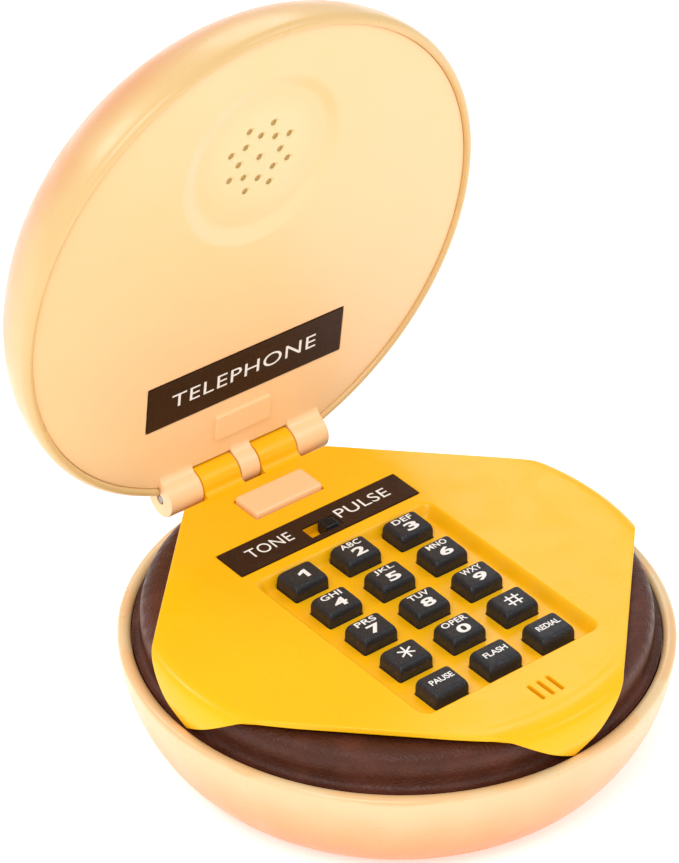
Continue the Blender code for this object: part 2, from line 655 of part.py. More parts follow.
def make_lid_cover(material):
    top = COVER_Z + COVER_THICKNESS
    cover = cylinder("lid_cover", (0, LID_CENTRE_Y), COVER_RADIUS, COVER_Z, top, material, BIG_SEGMENTS)
    pad = block("pad", -8.6, 8.6, 44.8, 52.4, LID_RIM_Z, COVER_Z + 0.5)
    bosses = [cylinder("boss", spot, 4.2, top - 0.5, COVER_Z + 5.0) for spot in LID_SCREW_SPOTS]
    bosses += [cylinder("boss", spot, 2.4, top - 0.5, top + 2.4, None, 12) for spot in RETAINER_SPOTS]
    grow(cover, pad, *bosses)
    clearances = []
    for side in (-1, 1):
        low, high = sorted((side * CENTRE_KNUCKLE, side * OUTER_KNUCKLE[0]))
        clearances.append(block("clearance", low, high, HINGE_Y - 5.5, 75, 40, 50))
    cut(cover, *clearances)
    left_knuckle = (-OUTER_KNUCKLE[1], -OUTER_KNUCKLE[0])
    for low, high in (left_knuckle, (-CENTRE_KNUCKLE, CENTRE_KNUCKLE), OUTER_KNUCKLE):
        grow(cover, bar_along_x("knuckle", low, high, HINGE_Y, HINGE_Z, KNUCKLE_RADIUS))
    holes = [bar_along_x("bore", -30, 30, HINGE_Y, HINGE_Z, PIN_HOLE_RADIUS, None, 16)]
    holes.append(block("label_seat", -LID_LABEL_HALF_WIDTH - GAP, LID_LABEL_HALF_WIDTH + GAP,
                       LID_LABEL_FRONT_Y - GAP, LID_LABEL_REAR_Y + GAP, 42, COVER_Z + 0.5))
    cut(cover, *holes)
    holes = []
    for spot in LID_SCREW_SPOTS:
        stepped = [(0, 42), (2.9, 42), (2.9, COVER_Z + 3.2), (SCREW_HOLE_RADIUS, COVER_Z + 3.2)]
        stepped += [(SCREW_HOLE_RADIUS, COVER_Z + 6), (0, COVER_Z + 6)]
        holes.append(turned("hole", stepped, None, SMALL_SEGMENTS, spot))
    holes += [cylinder("pilot", spot, 1.0, top + 0.3, top + 3, None, 8) for spot in RETAINER_SPOTS]
    holes += [cylinder("sound", spot, 0.9, 42, 48, None, 8) for spot in sound_hole_spots()]
    return cut(cover, *holes)


def sound_hole_spots():
    """One hole in the middle and two rings of eight around it."""
    spots = [(SPEAKER_X, SPEAKER_Y)]
    for radius, turn in ((6.4, 0.0), (9.7, 22.5)):
        for index in range(8):
            angle = math.radians(turn + 45 * index)
            spots.append((SPEAKER_X + radius * math.cos(angle), SPEAKER_Y + radius * math.sin(angle)))
    return spots


def make_lid_fittings(materials):
    top = COVER_Z + COVER_THICKNESS
    label = block("lid_label", -LID_LABEL_HALF_WIDTH, LID_LABEL_HALF_WIDTH, LID_LABEL_FRONT_Y,
                  LID_LABEL_REAR_Y, COVER_Z - 0.2, COVER_Z + 0.2, materials["label"])
    spot = (SPEAKER_X, SPEAKER_Y)
    frame = [(0, top + 0.9), (12.5, top + 0.9), (12.5, top + GAP), (15, top + GAP), (15, top + 2.0)]
    frame += [(11.5, top + 4.6), (8.6, top + 4.6), (8.6, top + 8.4), (0, top + 8.4)]
    speaker = turned("earpiece_speaker", frame, materials["steel"], 28, spot)
    ring = [(12.8, top + 4.8), (15.4, top + 2.7), (18.0, top + 2.7), (18.0, top + 4.2)]
    ring += [(15.6, top + 4.6), (13.2, top + 6.0)]
    retainer = turned("earpiece_retainer", ring, materials["black plastic"], 28, spot)
    ears = [block("ear", SPEAKER_X + low, SPEAKER_X + high, SPEAKER_Y - 2.6, SPEAKER_Y + 2.6,
                  top + 2.7, top + 4.2) for low, high in ((-23.2, -16.5), (16.5, 23.2))]
    grow(retainer, *ears)
    cut(retainer, *[cylinder("hole", ear, 1.2, top, top + 8, None, 8) for ear in RETAINER_SPOTS])
    pieces = [label, speaker, retainer]
    steel = materials["steel"]
    for index, place in enumerate(LID_SCREW_SPOTS):
        name = f"lid_screw_{index + 1}"
        pieces.append(make_screw(name, place, COVER_Z + 1.1, 1.8, 2.5, 58.5, SCREW_RADIUS, steel))
    for index, place in enumerate(RETAINER_SPOTS):
        name = f"retainer_screw_{index + 1}"
        pieces.append(make_retainer_screw(name, place, top + 4.5, steel))
    return pieces


def make_retainer_screw(name, spot, head_z, material):
    """A small screw driven downward through the retainer's ear."""
    outline = [(0, head_z - 3.6), (0.75, head_z - 3.0), (0.75, head_z), (1.9, head_z)]
    outline += [(1.9, head_z + 0.8), (0, head_z + 1.2)]
    return turned(name, outline, material, SCREW_SEGMENTS, spot)


def hang_on_hinge(pieces):
    """Parent the lid's pieces to an empty on the hinge axis and open it."""
    pivot = bpy.data.objects.new("lid_pivot", None)
    bpy.context.scene.collection.objects.link(pivot)
    pivot.location = Vector((0, HINGE_Y, HINGE_Z)) * MM
    pivot.rotation_euler = (-math.radians(OPEN_ANGLE), 0, 0)
    for piece in pieces:
        move_origin(piece, 0, HINGE_Y, HINGE_Z)
        piece.location = (0, 0, 0)
        piece.parent = pivot


# ---------------------------------------------------------------- assembly

def main():
    for thing in list(bpy.data.objects):
        bpy.data.objects.remove(thing)
    materials = {
        "bun": make_material("bun", (0.93, 0.66, 0.34), 0.35),
        "cover": make_material("cover", (0.96, 0.70, 0.42), 0.35),
        "patty": make_material("patty", (0.10, 0.035, 0.022), 0.45),
        "cheese": make_material("cheese", (1.0, 0.50, 0.02), 0.3),
        "label": make_material("label", (0.035, 0.018, 0.012), 0.4),
        "key": make_material("key", (0.018, 0.018, 0.02), 0.4),
        "black plastic": make_material("black plastic", (0.02, 0.02, 0.02), 0.5),
        "rubber": make_material("rubber", (0.03, 0.03, 0.03), 0.8),
        "board": make_material("board", (0.03, 0.20, 0.06), 0.5),
        "mat": make_material("mat", (0.55, 0.55, 0.55), 0.7),
        "steel": make_material("steel", (0.6, 0.6, 0.62), 0.3, 1.0),
    }
    make_bottom_bun(materials["bun"])
    make_patty_ring(materials["patty"])
    make_cheese_plate(materials["cheese"])
    make_label_strip(materials["label"])
    make_board(materials["board"])
    make_keypad_mat(materials["mat"])
    make_switches(materials["black plastic"])
    make_microphone(materials["steel"], materials["rubber"])
    make_base_internals(materials)
    make_base_screws(materials["steel"])
    make_keys(materials["key"])
    make_hook_key(materials["cover"])
    make_sliders(materials["key"])
    bar_along_x("hinge_pin", -25.6, 25.6, HINGE_Y, HINGE_Z, PIN_RADIUS, materials["steel"], 16)
    lid = [make_top_bun(materials["bun"]), make_lid_cover(materials["cover"])]
    lid += make_lid_fittings(materials)
    hang_on_hinge(lid)
    finish_shading()


main()
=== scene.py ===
import json
import math

import bmesh
import bpy
from mathutils import Matrix, Vector
from mathutils.bvhtree import BVHTree


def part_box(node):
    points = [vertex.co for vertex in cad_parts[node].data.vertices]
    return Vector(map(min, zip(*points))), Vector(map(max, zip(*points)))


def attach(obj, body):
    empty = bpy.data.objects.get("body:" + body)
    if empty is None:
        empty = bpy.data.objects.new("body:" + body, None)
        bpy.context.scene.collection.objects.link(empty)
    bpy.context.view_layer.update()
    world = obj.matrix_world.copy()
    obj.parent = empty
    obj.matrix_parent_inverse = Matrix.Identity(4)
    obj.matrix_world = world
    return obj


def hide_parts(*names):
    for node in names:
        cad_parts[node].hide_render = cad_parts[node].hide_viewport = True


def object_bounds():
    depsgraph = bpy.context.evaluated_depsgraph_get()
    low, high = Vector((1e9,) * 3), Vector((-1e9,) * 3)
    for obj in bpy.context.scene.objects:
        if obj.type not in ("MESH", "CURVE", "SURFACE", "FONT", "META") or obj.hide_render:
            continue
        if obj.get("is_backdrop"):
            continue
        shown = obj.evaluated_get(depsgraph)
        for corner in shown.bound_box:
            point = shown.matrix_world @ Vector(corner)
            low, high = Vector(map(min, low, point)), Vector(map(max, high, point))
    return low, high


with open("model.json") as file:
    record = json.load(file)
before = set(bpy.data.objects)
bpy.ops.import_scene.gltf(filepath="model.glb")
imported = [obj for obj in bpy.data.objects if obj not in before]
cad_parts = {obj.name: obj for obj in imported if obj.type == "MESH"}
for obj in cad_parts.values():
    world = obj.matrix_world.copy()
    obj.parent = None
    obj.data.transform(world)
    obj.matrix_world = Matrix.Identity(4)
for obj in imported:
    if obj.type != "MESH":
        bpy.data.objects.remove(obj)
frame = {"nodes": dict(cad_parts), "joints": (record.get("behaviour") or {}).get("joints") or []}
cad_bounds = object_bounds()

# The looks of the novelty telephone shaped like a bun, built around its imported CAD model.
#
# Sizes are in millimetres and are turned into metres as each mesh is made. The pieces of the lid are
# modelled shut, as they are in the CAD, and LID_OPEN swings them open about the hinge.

MM = 0.001
ROUND_STEPS = 192              # sides of the large turned pieces
KNUCKLE_STEPS = 64
WELD = 0.000002                # vertices closer than this, in metres, are merged after a Boolean


# ---------------------------------------------------------------- places taken from the frame

def node_box(node):
    """Lowest and highest corner of a CAD node at rest, in millimetres."""
    low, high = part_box(node)
    return low / MM, high / MM


LID_HINGE = next(joint for joint in frame["joints"] if joint["name"] == "lid_hinge")
HINGE_POINT = Vector(LID_HINGE["pos_m"])
HINGE_Y = HINGE_POINT.y / MM
HINGE_Z = HINGE_POINT.z / MM
SWING = Matrix.Rotation(-math.radians(LID_HINGE["range_deg"][1]), 4, "X")
LID_OPEN = Matrix.Translation(HINGE_POINT) @ SWING @ Matrix.Translation(-HINGE_POINT)
LID_SHUT = LID_OPEN.inverted()


def shut_box(node):
    """Lowest and highest corner of a lid node with the lid shut, in millimetres."""
    points = [LID_SHUT @ vertex.co / MM for vertex in frame["nodes"][node].data.vertices]
    low = Vector([min(point[axis] for point in points) for axis in range(3)])
    high = Vector([max(point[axis] for point in points) for axis in range(3)])
    return low, high


# ---------------------------------------------------------------- outlines and curves

def arc(centre, radii, start, end, steps):
    """Points of an elliptical arc, angles in degrees, both ends included."""
    points = []
    for step in range(steps + 1):
        angle = math.radians(start + (end - start) * step / steps)
        points.append((centre[0] + radii[0] * math.cos(angle), centre[1] + radii[1] * math.sin(angle)))
    return points


def smooth_step(value):
    value = min(1.0, max(0.0, value))
    return value * value * (3 - 2 * value)


def curve_at(knots, values, at):
    """Height at one place of the smooth curve that passes through values at knots."""
    last = len(knots) - 1
    slopes = []
    for index in range(last + 1):
        before = max(0, index - 1)
        after = min(last, index + 1)
        slopes.append((values[after] - values[before]) / (knots[after] - knots[before]))
    at = min(knots[-1], max(knots[0], at))
    piece = max(index for index in range(last) if knots[index] <= at)
    width = knots[piece + 1] - knots[piece]
    t = (at - knots[piece]) / width
    rise = values[piece] * (2 * t ** 3 - 3 * t ** 2 + 1) + values[piece + 1] * (3 * t ** 2 - 2 * t ** 3)
    start_slope = slopes[piece] * (t ** 3 - 2 * t ** 2 + t)
    end_slope = slopes[piece + 1] * (t ** 3 - t ** 2)
    return rise + width * (start_slope + end_slope)


def smooth_path(points, step):
    """Points about a step apart on a smooth curve through the given points."""
    knots = [0.0]
    for here, there in zip(points, points[1:]):
        knots.append(knots[-1] + math.dist(here, there))
    count = max(2, round(knots[-1] / step))
    places = [knots[-1] * index / count for index in range(count + 1)]
    firsts = [point[0] for point in points]
    seconds = [point[1] for point in points]
    return [(curve_at(knots, firsts, place), curve_at(knots, seconds, place)) for place in places]


def rounded_rectangle(x_low, x_high, y_low, y_high, radius, steps=6):
    corners = [
        (x_high - radius, y_high - radius, 0), (x_low + radius, y_high - radius, 90),
        (x_low + radius, y_low + radius, 180), (x_high - radius, y_low + radius, 270),
    ]
    points = []
    for x, y, start in corners:
        points += arc((x, y), (radius, radius), start, start + 90, steps)
    return points


def grown_sides(sides, margin):
    return sides[0] - margin, sides[1] + margin, sides[2] - margin, sides[3] + margin


def footprint(box):
    """The (x_low, x_high, y_low, y_high) sides of a box given by two corners."""
    low, high = box
    return low.x, high.x, low.y, high.y


def middle_of(node):
    """Middle of a CAD node, seen from above."""
    low, high = node_box(node)
    return (low.x + high.x) / 2, (low.y + high.y) / 2


# ---------------------------------------------------------------- solids

def linked(name, data):
    thing = bpy.data.objects.new(name, data)
    bpy.context.scene.collection.objects.link(thing)
    return thing


def to_object(name, work):
    """Turn a bmesh into an object of the scene."""
    mesh = bpy.data.meshes.new(name)
    work.to_mesh(mesh)
    work.free()
    return linked(name, mesh)


def evaluated_mesh(thing):
    return bpy.data.meshes.new_from_object(thing.evaluated_get(bpy.context.evaluated_depsgraph_get()))


def mesh_object(name, vertices, faces):
    """Make an object from millimetre vertices, with its faces turned outward."""
    work = bmesh.new()
    made = [work.verts.new(Vector(vertex) * MM) for vertex in vertices]
    for face in faces:
        work.faces.new([made[index] for index in face])
    bmesh.ops.recalc_face_normals(work, faces=work.faces)
    return to_object(name, work)


def loft(name, rings, closed=False):
    """Join rings of equally many points into one solid. Unless it is closed, both ends are capped."""
    count = len(rings[0])
    vertices = [point for ring in rings for point in ring]
    faces = []
    for row in range(len(rings) if closed else len(rings) - 1):
        here = row * count
        there = (row + 1) % len(rings) * count
        for index in range(count):
            after = (index + 1) % count
            faces.append((here + index, here + after, there + after, there + index))
    if not closed:
        faces.append(tuple(range(count)))
        faces.append(tuple(range(len(vertices) - count, len(vertices))))
    return mesh_object(name, vertices, faces)


def turned(name, profile, centre=(0.0, 0.0), segments=ROUND_STEPS, closed=False):
    """Spin a (radius, z) outline about a vertical axis."""
    rings = []
    for radius, z in profile:
        circle = arc(centre, (radius, radius), 0, 360, segments)[:-1]
        rings.append([(x, y, z) for x, y in circle])
    return loft(name, rings, closed)


def tower(name, layers, radius, steps=6):
    """Stack rounded rectangles (z, x_low, x_high, y_low, y_high), bottom to top or top to bottom."""
    rings = []
    for z, x_low, x_high, y_low, y_high in layers:
        outline = rounded_rectangle(x_low, x_high, y_low, y_high, radius, steps)
        rings.append([(x, y, z) for x, y in outline])
    return loft(name, rings)


def block(name, x_low, x_high, y_low, y_high, z_low, z_high):
    corners = [(x_low, y_low), (x_high, y_low), (x_high, y_high), (x_low, y_high)]
    return loft(name, [[(x, y, z) for x, y in corners] for z in (z_low, z_high)])


def along_x(name, outline, stations, pivot):
    """Carry a (y, z) outline along X through (x, shrink) stations, shrinking it towards a pivot."""
    rings = []
    for x, shrink in stations:
        ring = []
        for y, z in outline:
            ring.append((x, pivot[0] + (y - pivot[0]) * shrink, pivot[1] + (z - pivot[1]) * shrink))
        rings.append(ring)
    return loft(name, rings)


def gather(tools):
    """Put separate tools into one mesh, so that one Boolean takes them all."""
    work = bmesh.new()
    for tool in tools:
        work.from_mesh(tool.data)
        bpy.data.objects.remove(tool)
    return to_object("tool", work)


def combine(thing, operation, tools):
    tool = gather(tools)
    modifier = thing.modifiers.new("combine", "BOOLEAN")
    modifier.operation = operation
    modifier.solver = "EXACT"
    modifier.object = tool
    mesh = evaluated_mesh(thing)
    work = bmesh.new()
    work.from_mesh(mesh)
    bmesh.ops.remove_doubles(work, verts=work.verts, dist=WELD)
    bmesh.ops.dissolve_degenerate(work, edges=work.edges, dist=WELD)
    work.to_mesh(mesh)
    work.free()
    thing.modifiers.clear()
    thing.data = mesh
    bpy.data.objects.remove(tool)
    return thing


def cut(thing, *tools):
    """Cut tools that don't touch each other from a solid."""
    return combine(thing, "DIFFERENCE", tools)


def grow(thing, *tools):
    """Join tools to a solid, one after another."""
    for tool in tools:
        combine(thing, "UNION", [tool])
    return thing


def socket_cutter(name, sides, z_floor, z_face, radius, lip=0.25):
    """A cutter for a rectangular opening in a face, with a rounded lip and its mouth at z_face.

    sides is (x_low, x_high, y_low, y_high). The opening runs from z_face to z_floor, either way."""
    inward = 1 if z_floor > z_face else -1
    levels = [(lip, -1.0), (lip, 0.0), (lip * 0.38, lip * 0.12), (lip * 0.12, lip * 0.4), (0.0, lip)]
    levels.append((0.0, abs(z_floor - z_face)))
    layers = []
    for grown, depth in levels:
        z = z_face + inward * depth
        layers.append((z, *grown_sides(sides, grown)))
    return tower(name, layers, radius)


def drill(name, centre, radius, z_low, z_high, segments=24):
    return turned(name, [(radius, z_low), (radius, z_high)], centre, segments)


def polish(thing, sharp_degrees=32.0):
    """Smooth shading with true edges, and normals weighted by face area."""
    thing.data.shade_smooth()
    thing.data.set_sharp_from_angle(angle=math.radians(sharp_degrees))
    weighted = thing.modifiers.new("weighted", "WEIGHTED_NORMAL")
    weighted.keep_sharp = True
    return thing


def place(thing, body, material, slot=None, replaces=(), lid=False):
    """Finish a piece: its material, the body that carries it and the CAD nodes that it stands for."""
    thing.data.materials.clear()
    thing.data.materials.append(material)
    if lid:
        thing.data.transform(LID_OPEN)
    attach(thing, body)
    if replaces:
        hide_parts(*replaces)
    return thing


# ---------------------------------------------------------------- materials

COAT_ROUGHNESS = 0.22


class Finish:
    """A Principled material and the texture nodes that feed it. Sizes are in millimetres."""

    def __init__(self, name, colour, roughness, metallic=0.0, coat=0.0, gloss=0.5, lid=False):
        self.material = bpy.data.materials.new(name)
        self.material.use_nodes = True
        self.nodes = self.material.node_tree.nodes
        self.links = self.material.node_tree.links
        self.shader = self.nodes["Principled BSDF"]
        self.set("Base Color", colour)
        self.set("Roughness", roughness)
        self.set("Metallic", metallic)
        self.set("Specular IOR Level", gloss)
        if coat:
            self.set("Coat Weight", coat)
            self.set("Coat Roughness", COAT_ROUGHNESS)
        self.spot = self.add("TexCoord", {}, "Object")
        if lid:
            shut = {"Location": LID_SHUT.to_translation(), "Rotation": LID_SHUT.to_euler()}
            self.spot = self.add("Mapping", {"Vector": self.spot, **shut})
        self.axes = self.nodes.new("ShaderNodeSeparateXYZ")
        self.links.new(self.spot, self.axes.inputs[0])

    def feed(self, socket, source):
        if isinstance(source, bpy.types.NodeSocket):
            self.links.new(source, socket)
        elif socket.type == "RGBA":
            socket.default_value = (*source, 1.0)
        else:
            socket.default_value = source

    def set(self, name, source):
        self.feed(self.shader.inputs[name], source)

    def add(self, kind, inputs, output=0, **settings):
        """Add a node, apply its settings, feed its inputs and return one of its outputs."""
        node = self.nodes.new("ShaderNode" + kind)
        for name, value in settings.items():
            setattr(node, name, value)
        for name, source in inputs.items():
            self.feed(node.inputs[name], source)
        return node.outputs[output]

    def sum(self, operation, first, second):
        return self.add("Math", {0: first, 1: second}, operation=operation)

    def noise(self, size, detail=3.0, roughness=0.5, stretch=(1.0, 1.0, 1.0)):
        """Noise whose largest features are about a size in millimetres."""
        spot = self.add("Mapping", {"Vector": self.spot, "Scale": stretch})
        scale = 1 / (size * MM)
        return self.add("TexNoise", {"Vector": spot, "Scale": scale, "Detail": detail, "Roughness": roughness})

    def cells(self, size, feature="F1"):
        inputs = {"Vector": self.spot, "Scale": 1 / (size * MM)}
        return self.add("TexVoronoi", inputs, "Distance", feature=feature)

    def between(self, source, low, high, to_low=0.0, to_high=1.0):
        """Map a range of a value smoothly onto another."""
        inputs = {"Value": source, "From Min": low, "From Max": high, "To Min": to_low, "To Max": to_high}
        return self.add("MapRange", inputs, interpolation_type="SMOOTHSTEP")

    def mix(self, factor, first, second):
        return self.add("Mix", {"Factor": factor, "A": first, "B": second}, "Result", data_type="RGBA")

    def bump(self, *layers):
        """Stack bumps, each a (height source, distance in millimetres)."""
        below = {}
        for source, distance in layers:
            inputs = {"Strength": 1.0, "Distance": distance * MM, "Height": source}
            below = {"Normal": self.add("Bump", {**inputs, **below})}
        self.set("Normal", below["Normal"])


def tinted(colour, factor):
    return tuple(channel * factor for channel in colour)


def moulded(name, colour, roughness, grain_mm=0.35, grain_depth=0.003, **looks):
    """Injection-moulded plastic: faint flow marks in its colour, a fine skin and uneven gloss."""
    finish = Finish(name, colour, roughness, **looks)
    flow = finish.between(finish.noise(38.0, 2.0), 0.35, 0.65)
    finish.set("Base Color", finish.mix(flow, tinted(colour, 0.975), colour))
    handled = finish.noise(9.0, 4.0)
    finish.set("Roughness", finish.between(handled, 0.3, 0.75, roughness - 0.05, roughness + 0.07))
    finish.bump((finish.noise(grain_mm, 2.0), grain_depth), (finish.noise(9.0, 1.0), 0.008))
    return finish


def mottled(name, first, second, patches, grain, depth, roughness=0.5, spread=None, uneven=None, **looks):
    """A finish that wanders between two colours, with a grain of some depth.

    patches and grain are noises. spread sharpens the patches. uneven is a noise for the roughness
    and the two ends of its range."""
    finish = Finish(name, first, roughness, **looks)
    share = finish.noise(*patches)
    if spread:
        share = finish.between(share, *spread)
    finish.set("Base Color", finish.mix(share, first, second))
    if uneven:
        finish.set("Roughness", finish.between(finish.noise(*uneven[0]), 0.3, 0.7, *uneven[1:]))
    finish.bump((finish.noise(*grain), depth))
    return finish.material


CREAM = (0.80, 0.57, 0.30)
RIM_TAN = (0.82, 0.50, 0.23)
LIGHT_TAN = (0.76, 0.38, 0.145)
TOASTED = (0.69, 0.245, 0.058)
CROWN_CREAM = (0.74, 0.49, 0.205)
CROWN_TOASTED = (0.72, 0.32, 0.12)
HEIGHT = 2                     # the axis that the sprayed tan fades along


def airbrushed(name, cream, fades, lid=False):
    """Cream plastic with a sprayed tan. fades are (from, to, colour), heights in millimetres."""
    finish = moulded(name, cream, 0.32, coat=0.12, lid=lid)
    drift = finish.between(finish.noise(26.0, 2.0), 0.3, 0.7, -1.6 * MM, 1.6 * MM)
    colour = finish.mix(finish.between(finish.noise(40.0, 2.0), 0.35, 0.65), tinted(cream, 0.98), cream)
    height = finish.sum("ADD", finish.axes.outputs[HEIGHT], drift)
    for start, end, sprayed in fades:
        colour = finish.mix(finish.between(height, start * MM, end * MM), colour, sprayed)
    specks = finish.between(finish.noise(0.5, 1.0), 0.62, 0.8, 0.0, 0.06)
    finish.set("Base Color", finish.mix(specks, colour, TOASTED))
    return finish.material


def patty_brown():
    """Dark brown plastic with a leathery grain, fine wrinkles, a dull purplish bloom and painted shade in small
    pits.
    """
    dark = (0.068, 0.017, 0.007)
    finish = Finish("patty_brown", dark, 0.4, gloss=0.27)
    bloom = finish.between(finish.noise(11.0, 4.0), 0.35, 0.7)
    colour = finish.mix(bloom, dark, (0.104, 0.027, 0.014))
    # painted shade: small spots darkened as if shaded in pits
    pit_shade = finish.between(finish.cells(0.9), 0.0, 0.35, 1.0, 0.0)
    finish.set("Base Color", finish.mix(finish.sum("MULTIPLY", pit_shade, 0.5), colour, (0.03, 0.008, 0.004)))
    wrinkles = finish.noise(2.6, 6.0, 0.62, stretch=(1.0, 1.0, 0.45))
    finish.set("Roughness", finish.between(wrinkles, 0.35, 0.7, 0.34, 0.56))
    finish.bump((wrinkles, 0.26), (finish.cells(0.7), 0.13), (finish.noise(0.25, 2.0), 0.026))
    return finish.material


def key_black():
    """Near-black keys with a fine spark texture and a few specks of dust."""
    black = (0.010, 0.010, 0.013)
    finish = Finish("key_black", black, 0.5, gloss=0.36)
    speckle = finish.between(finish.noise(0.28, 2.0), 0.45, 0.75)
    colour = finish.mix(speckle, black, (0.042, 0.041, 0.047))
    dust = finish.between(finish.cells(1.9), 0.035, 0.06, 1.0, 0.0)
    rare = finish.between(finish.noise(2.4, 1.0), 0.60, 0.66)
    finish.set("Base Color", finish.mix(finish.sum("MULTIPLY", dust, rare), colour, (0.62, 0.60, 0.56)))
    finish.set("Roughness", finish.between(finish.noise(1.2, 3.0), 0.3, 0.7, 0.38, 0.56))
    finish.bump((finish.noise(0.22, 2.0), 0.04), (finish.noise(3.0, 2.0), 0.02))
    return finish.material


def board_green():
    """Solder mask over copper runs, with the mask's slight ripple."""
    green = (0.012, 0.12, 0.035)
    finish = Finish("board_green", green, 0.35)
    runs = finish.between(finish.cells(2.2, "DISTANCE_TO_EDGE"), 0.04, 0.09, 1.0, 0.0)
    finish.set("Base Color", finish.mix(runs, green, (0.05, 0.24, 0.07)))
    finish.bump((runs, 0.035), (finish.noise(0.6, 2.0), 0.006))
    return finish.material


def gilt():
    finish = Finish("gilt", (0.86, 0.62, 0.25), 0.25, metallic=1.0)
    finish.set("Roughness", finish.between(finish.noise(1.0, 3.0), 0.3, 0.7, 0.18, 0.36))
    finish.bump((finish.noise(0.4, 2.0), 0.004))
    return finish.material


def plated_steel(name, shade):
    """Zinc-plated steel: fine drawing marks and cloudy gloss."""
    marks = (0.5, 3.0, 0.5, (0.15, 1.0, 1.0))
    dark = tinted((0.52, 0.51, 0.49), shade)
    light = tinted((0.70, 0.69, 0.67), shade)
    return mottled(name, dark, light, (2.0, 3.0), marks, 0.006, uneven=(marks, 0.2, 0.42), metallic=1.0)


PEACH_COLOUR = (1.0, 0.62, 0.32)
SPEAKER = (0.0, -33.0)         # middle of the earpiece's dish, with the lid shut
DISH_RADIUS = 25.0
DISH_FLAT = 19.3               # radius of the dish's flat floor


def dished_peach():
    """The lid's inner face: painted light and shade make it paler by the hinge and darker towards the far rim,
    and it is aged to a greener cream in the earpiece's dish.
    """
    finish = moulded("peach_cover", PEACH_COLOUR, 0.33, coat=0.15, lid=True)
    x, y = finish.axes.outputs[0], finish.axes.outputs[1]
    middle = (SPEAKER[0] * MM, SPEAKER[1] * MM, 0.0)
    from_middle = finish.add("VectorMath", {0: finish.add("CombineXYZ", {0: x, 1: y}), 1: middle}, "Value",
                             operation="DISTANCE")
    flow = finish.between(finish.noise(38.0, 2.0), 0.35, 0.65)
    # painted light and shade: paler by the hinge, darker towards the far rim
    colour = finish.mix(finish.between(y, 45 * MM, -65 * MM), (1.0, 0.66, 0.345), (1.0, 0.60, 0.295))
    colour = finish.mix(flow, finish.mix(0.5, colour, PEACH_COLOUR), colour)
    aged = finish.between(from_middle, DISH_FLAT * MM, (DISH_FLAT - 9) * MM)
    finish.set("Base Color", finish.mix(aged, colour, (0.80, 0.645, 0.335)))
    return finish.material


BUN_FADES = [(30.0, 15.0, LIGHT_TAN), (19.0, 6.0, TOASTED), (30.3, 31.4, RIM_TAN)]
BUN_LOWER = airbrushed("bun_lower", CREAM, BUN_FADES)
BUN_CROWN = airbrushed("bun_crown", CROWN_CREAM, [(47.0, 60.0, CROWN_TOASTED)], lid=True)
PEACH = moulded("peach", PEACH_COLOUR, 0.33, coat=0.15).material
COVER_PEACH = dished_peach()
CHEESE = moulded("cheese_yellow", (1.0, 0.507, 0.004), 0.26, grain_depth=0.0015, coat=0.07, gloss=0.22).material
PATTY = patty_brown()
FILM = mottled("printed_film", (0.034, 0.013, 0.005), (0.046, 0.019, 0.010), (0.7, 3.0), (0.4, 2.0), 0.004,
               spread=(0.35, 0.7), uneven=((2.5, 3.0), 0.32, 0.46), gloss=0.12)
KEY_BLACK = key_black()
INK = mottled("ink_white", (0.80, 0.78, 0.75), (0.90, 0.89, 0.87), (0.3, 3.0), (0.2, 2.0), 0.006,
              spread=(0.3, 0.6))
BLACK = moulded("black_plastic", (0.010, 0.010, 0.011), 0.45, 0.3, 0.012, gloss=0.3).material
RUBBER = mottled("rubber_black", (0.022, 0.022, 0.022), (0.045, 0.043, 0.04), (4.0, 5.0), (0.5, 3.0), 0.05,
                 roughness=0.82, spread=(0.4, 0.75))
BOARD = board_green()
MAT = mottled("mat_grey", (0.36, 0.36, 0.35), (0.5, 0.5, 0.49), (5.0, 4.0), (0.4, 3.0), 0.02, 0.7)
STEEL = plated_steel("plated_steel", 1.0)
DULL_STEEL = plated_steel("dull_steel", 0.5)
GILT = gilt()
FIBRE_STREAKS = (0.3, 3.0, 0.5, (1.0, 0.6, 1.0))
FIBRE = mottled("fibre_tan", (0.42, 0.23, 0.06), (0.78, 0.52, 0.20), FIBRE_STREAKS, FIBRE_STREAKS, 0.05, 0.9)


# ---------------------------------------------------------------- bottom bun and patty

BUN_LOW, BUN_HIGH = node_box("bottom_bun")
BUN_RADIUS = BUN_HIGH.x
BUN_BOTTOM_Z = BUN_LOW.z
RIM_TOP_Z = BUN_HIGH.z
BUN_WIDEST_Z = RIM_TOP_Z - 1.3
BUN_FLOOR_RADIUS = 52.0
BUN_ROUNDNESS = 1.69           # exponent of the bun's side curve
BUN_WALL = 2.2
BUN_FLOOR_TOP_Z = 3.6
RIM_INNER_RADIUS = 66.6
LEDGE_Z = 27.0
GAP = 0.3
POST_JOINT_Z = 14.0
SCREW_HOLE_RADIUS = 1.7
SCREW_RECESS_RADIUS = 3.3


def bun_radius_at(z):
    """Outer radius of the bottom bun at a height."""
    drop = (BUN_WIDEST_Z - z) / (BUN_WIDEST_Z - BUN_BOTTOM_Z + 0.8)
    swell = max(0.0, 1 - drop ** BUN_ROUNDNESS) ** (1 / BUN_ROUNDNESS)
    return BUN_FLOOR_RADIUS + (BUN_RADIUS - BUN_FLOOR_RADIUS) * swell


BASE_SCREWS = [f"base_screw_{index}" for index in range(1, 5)]


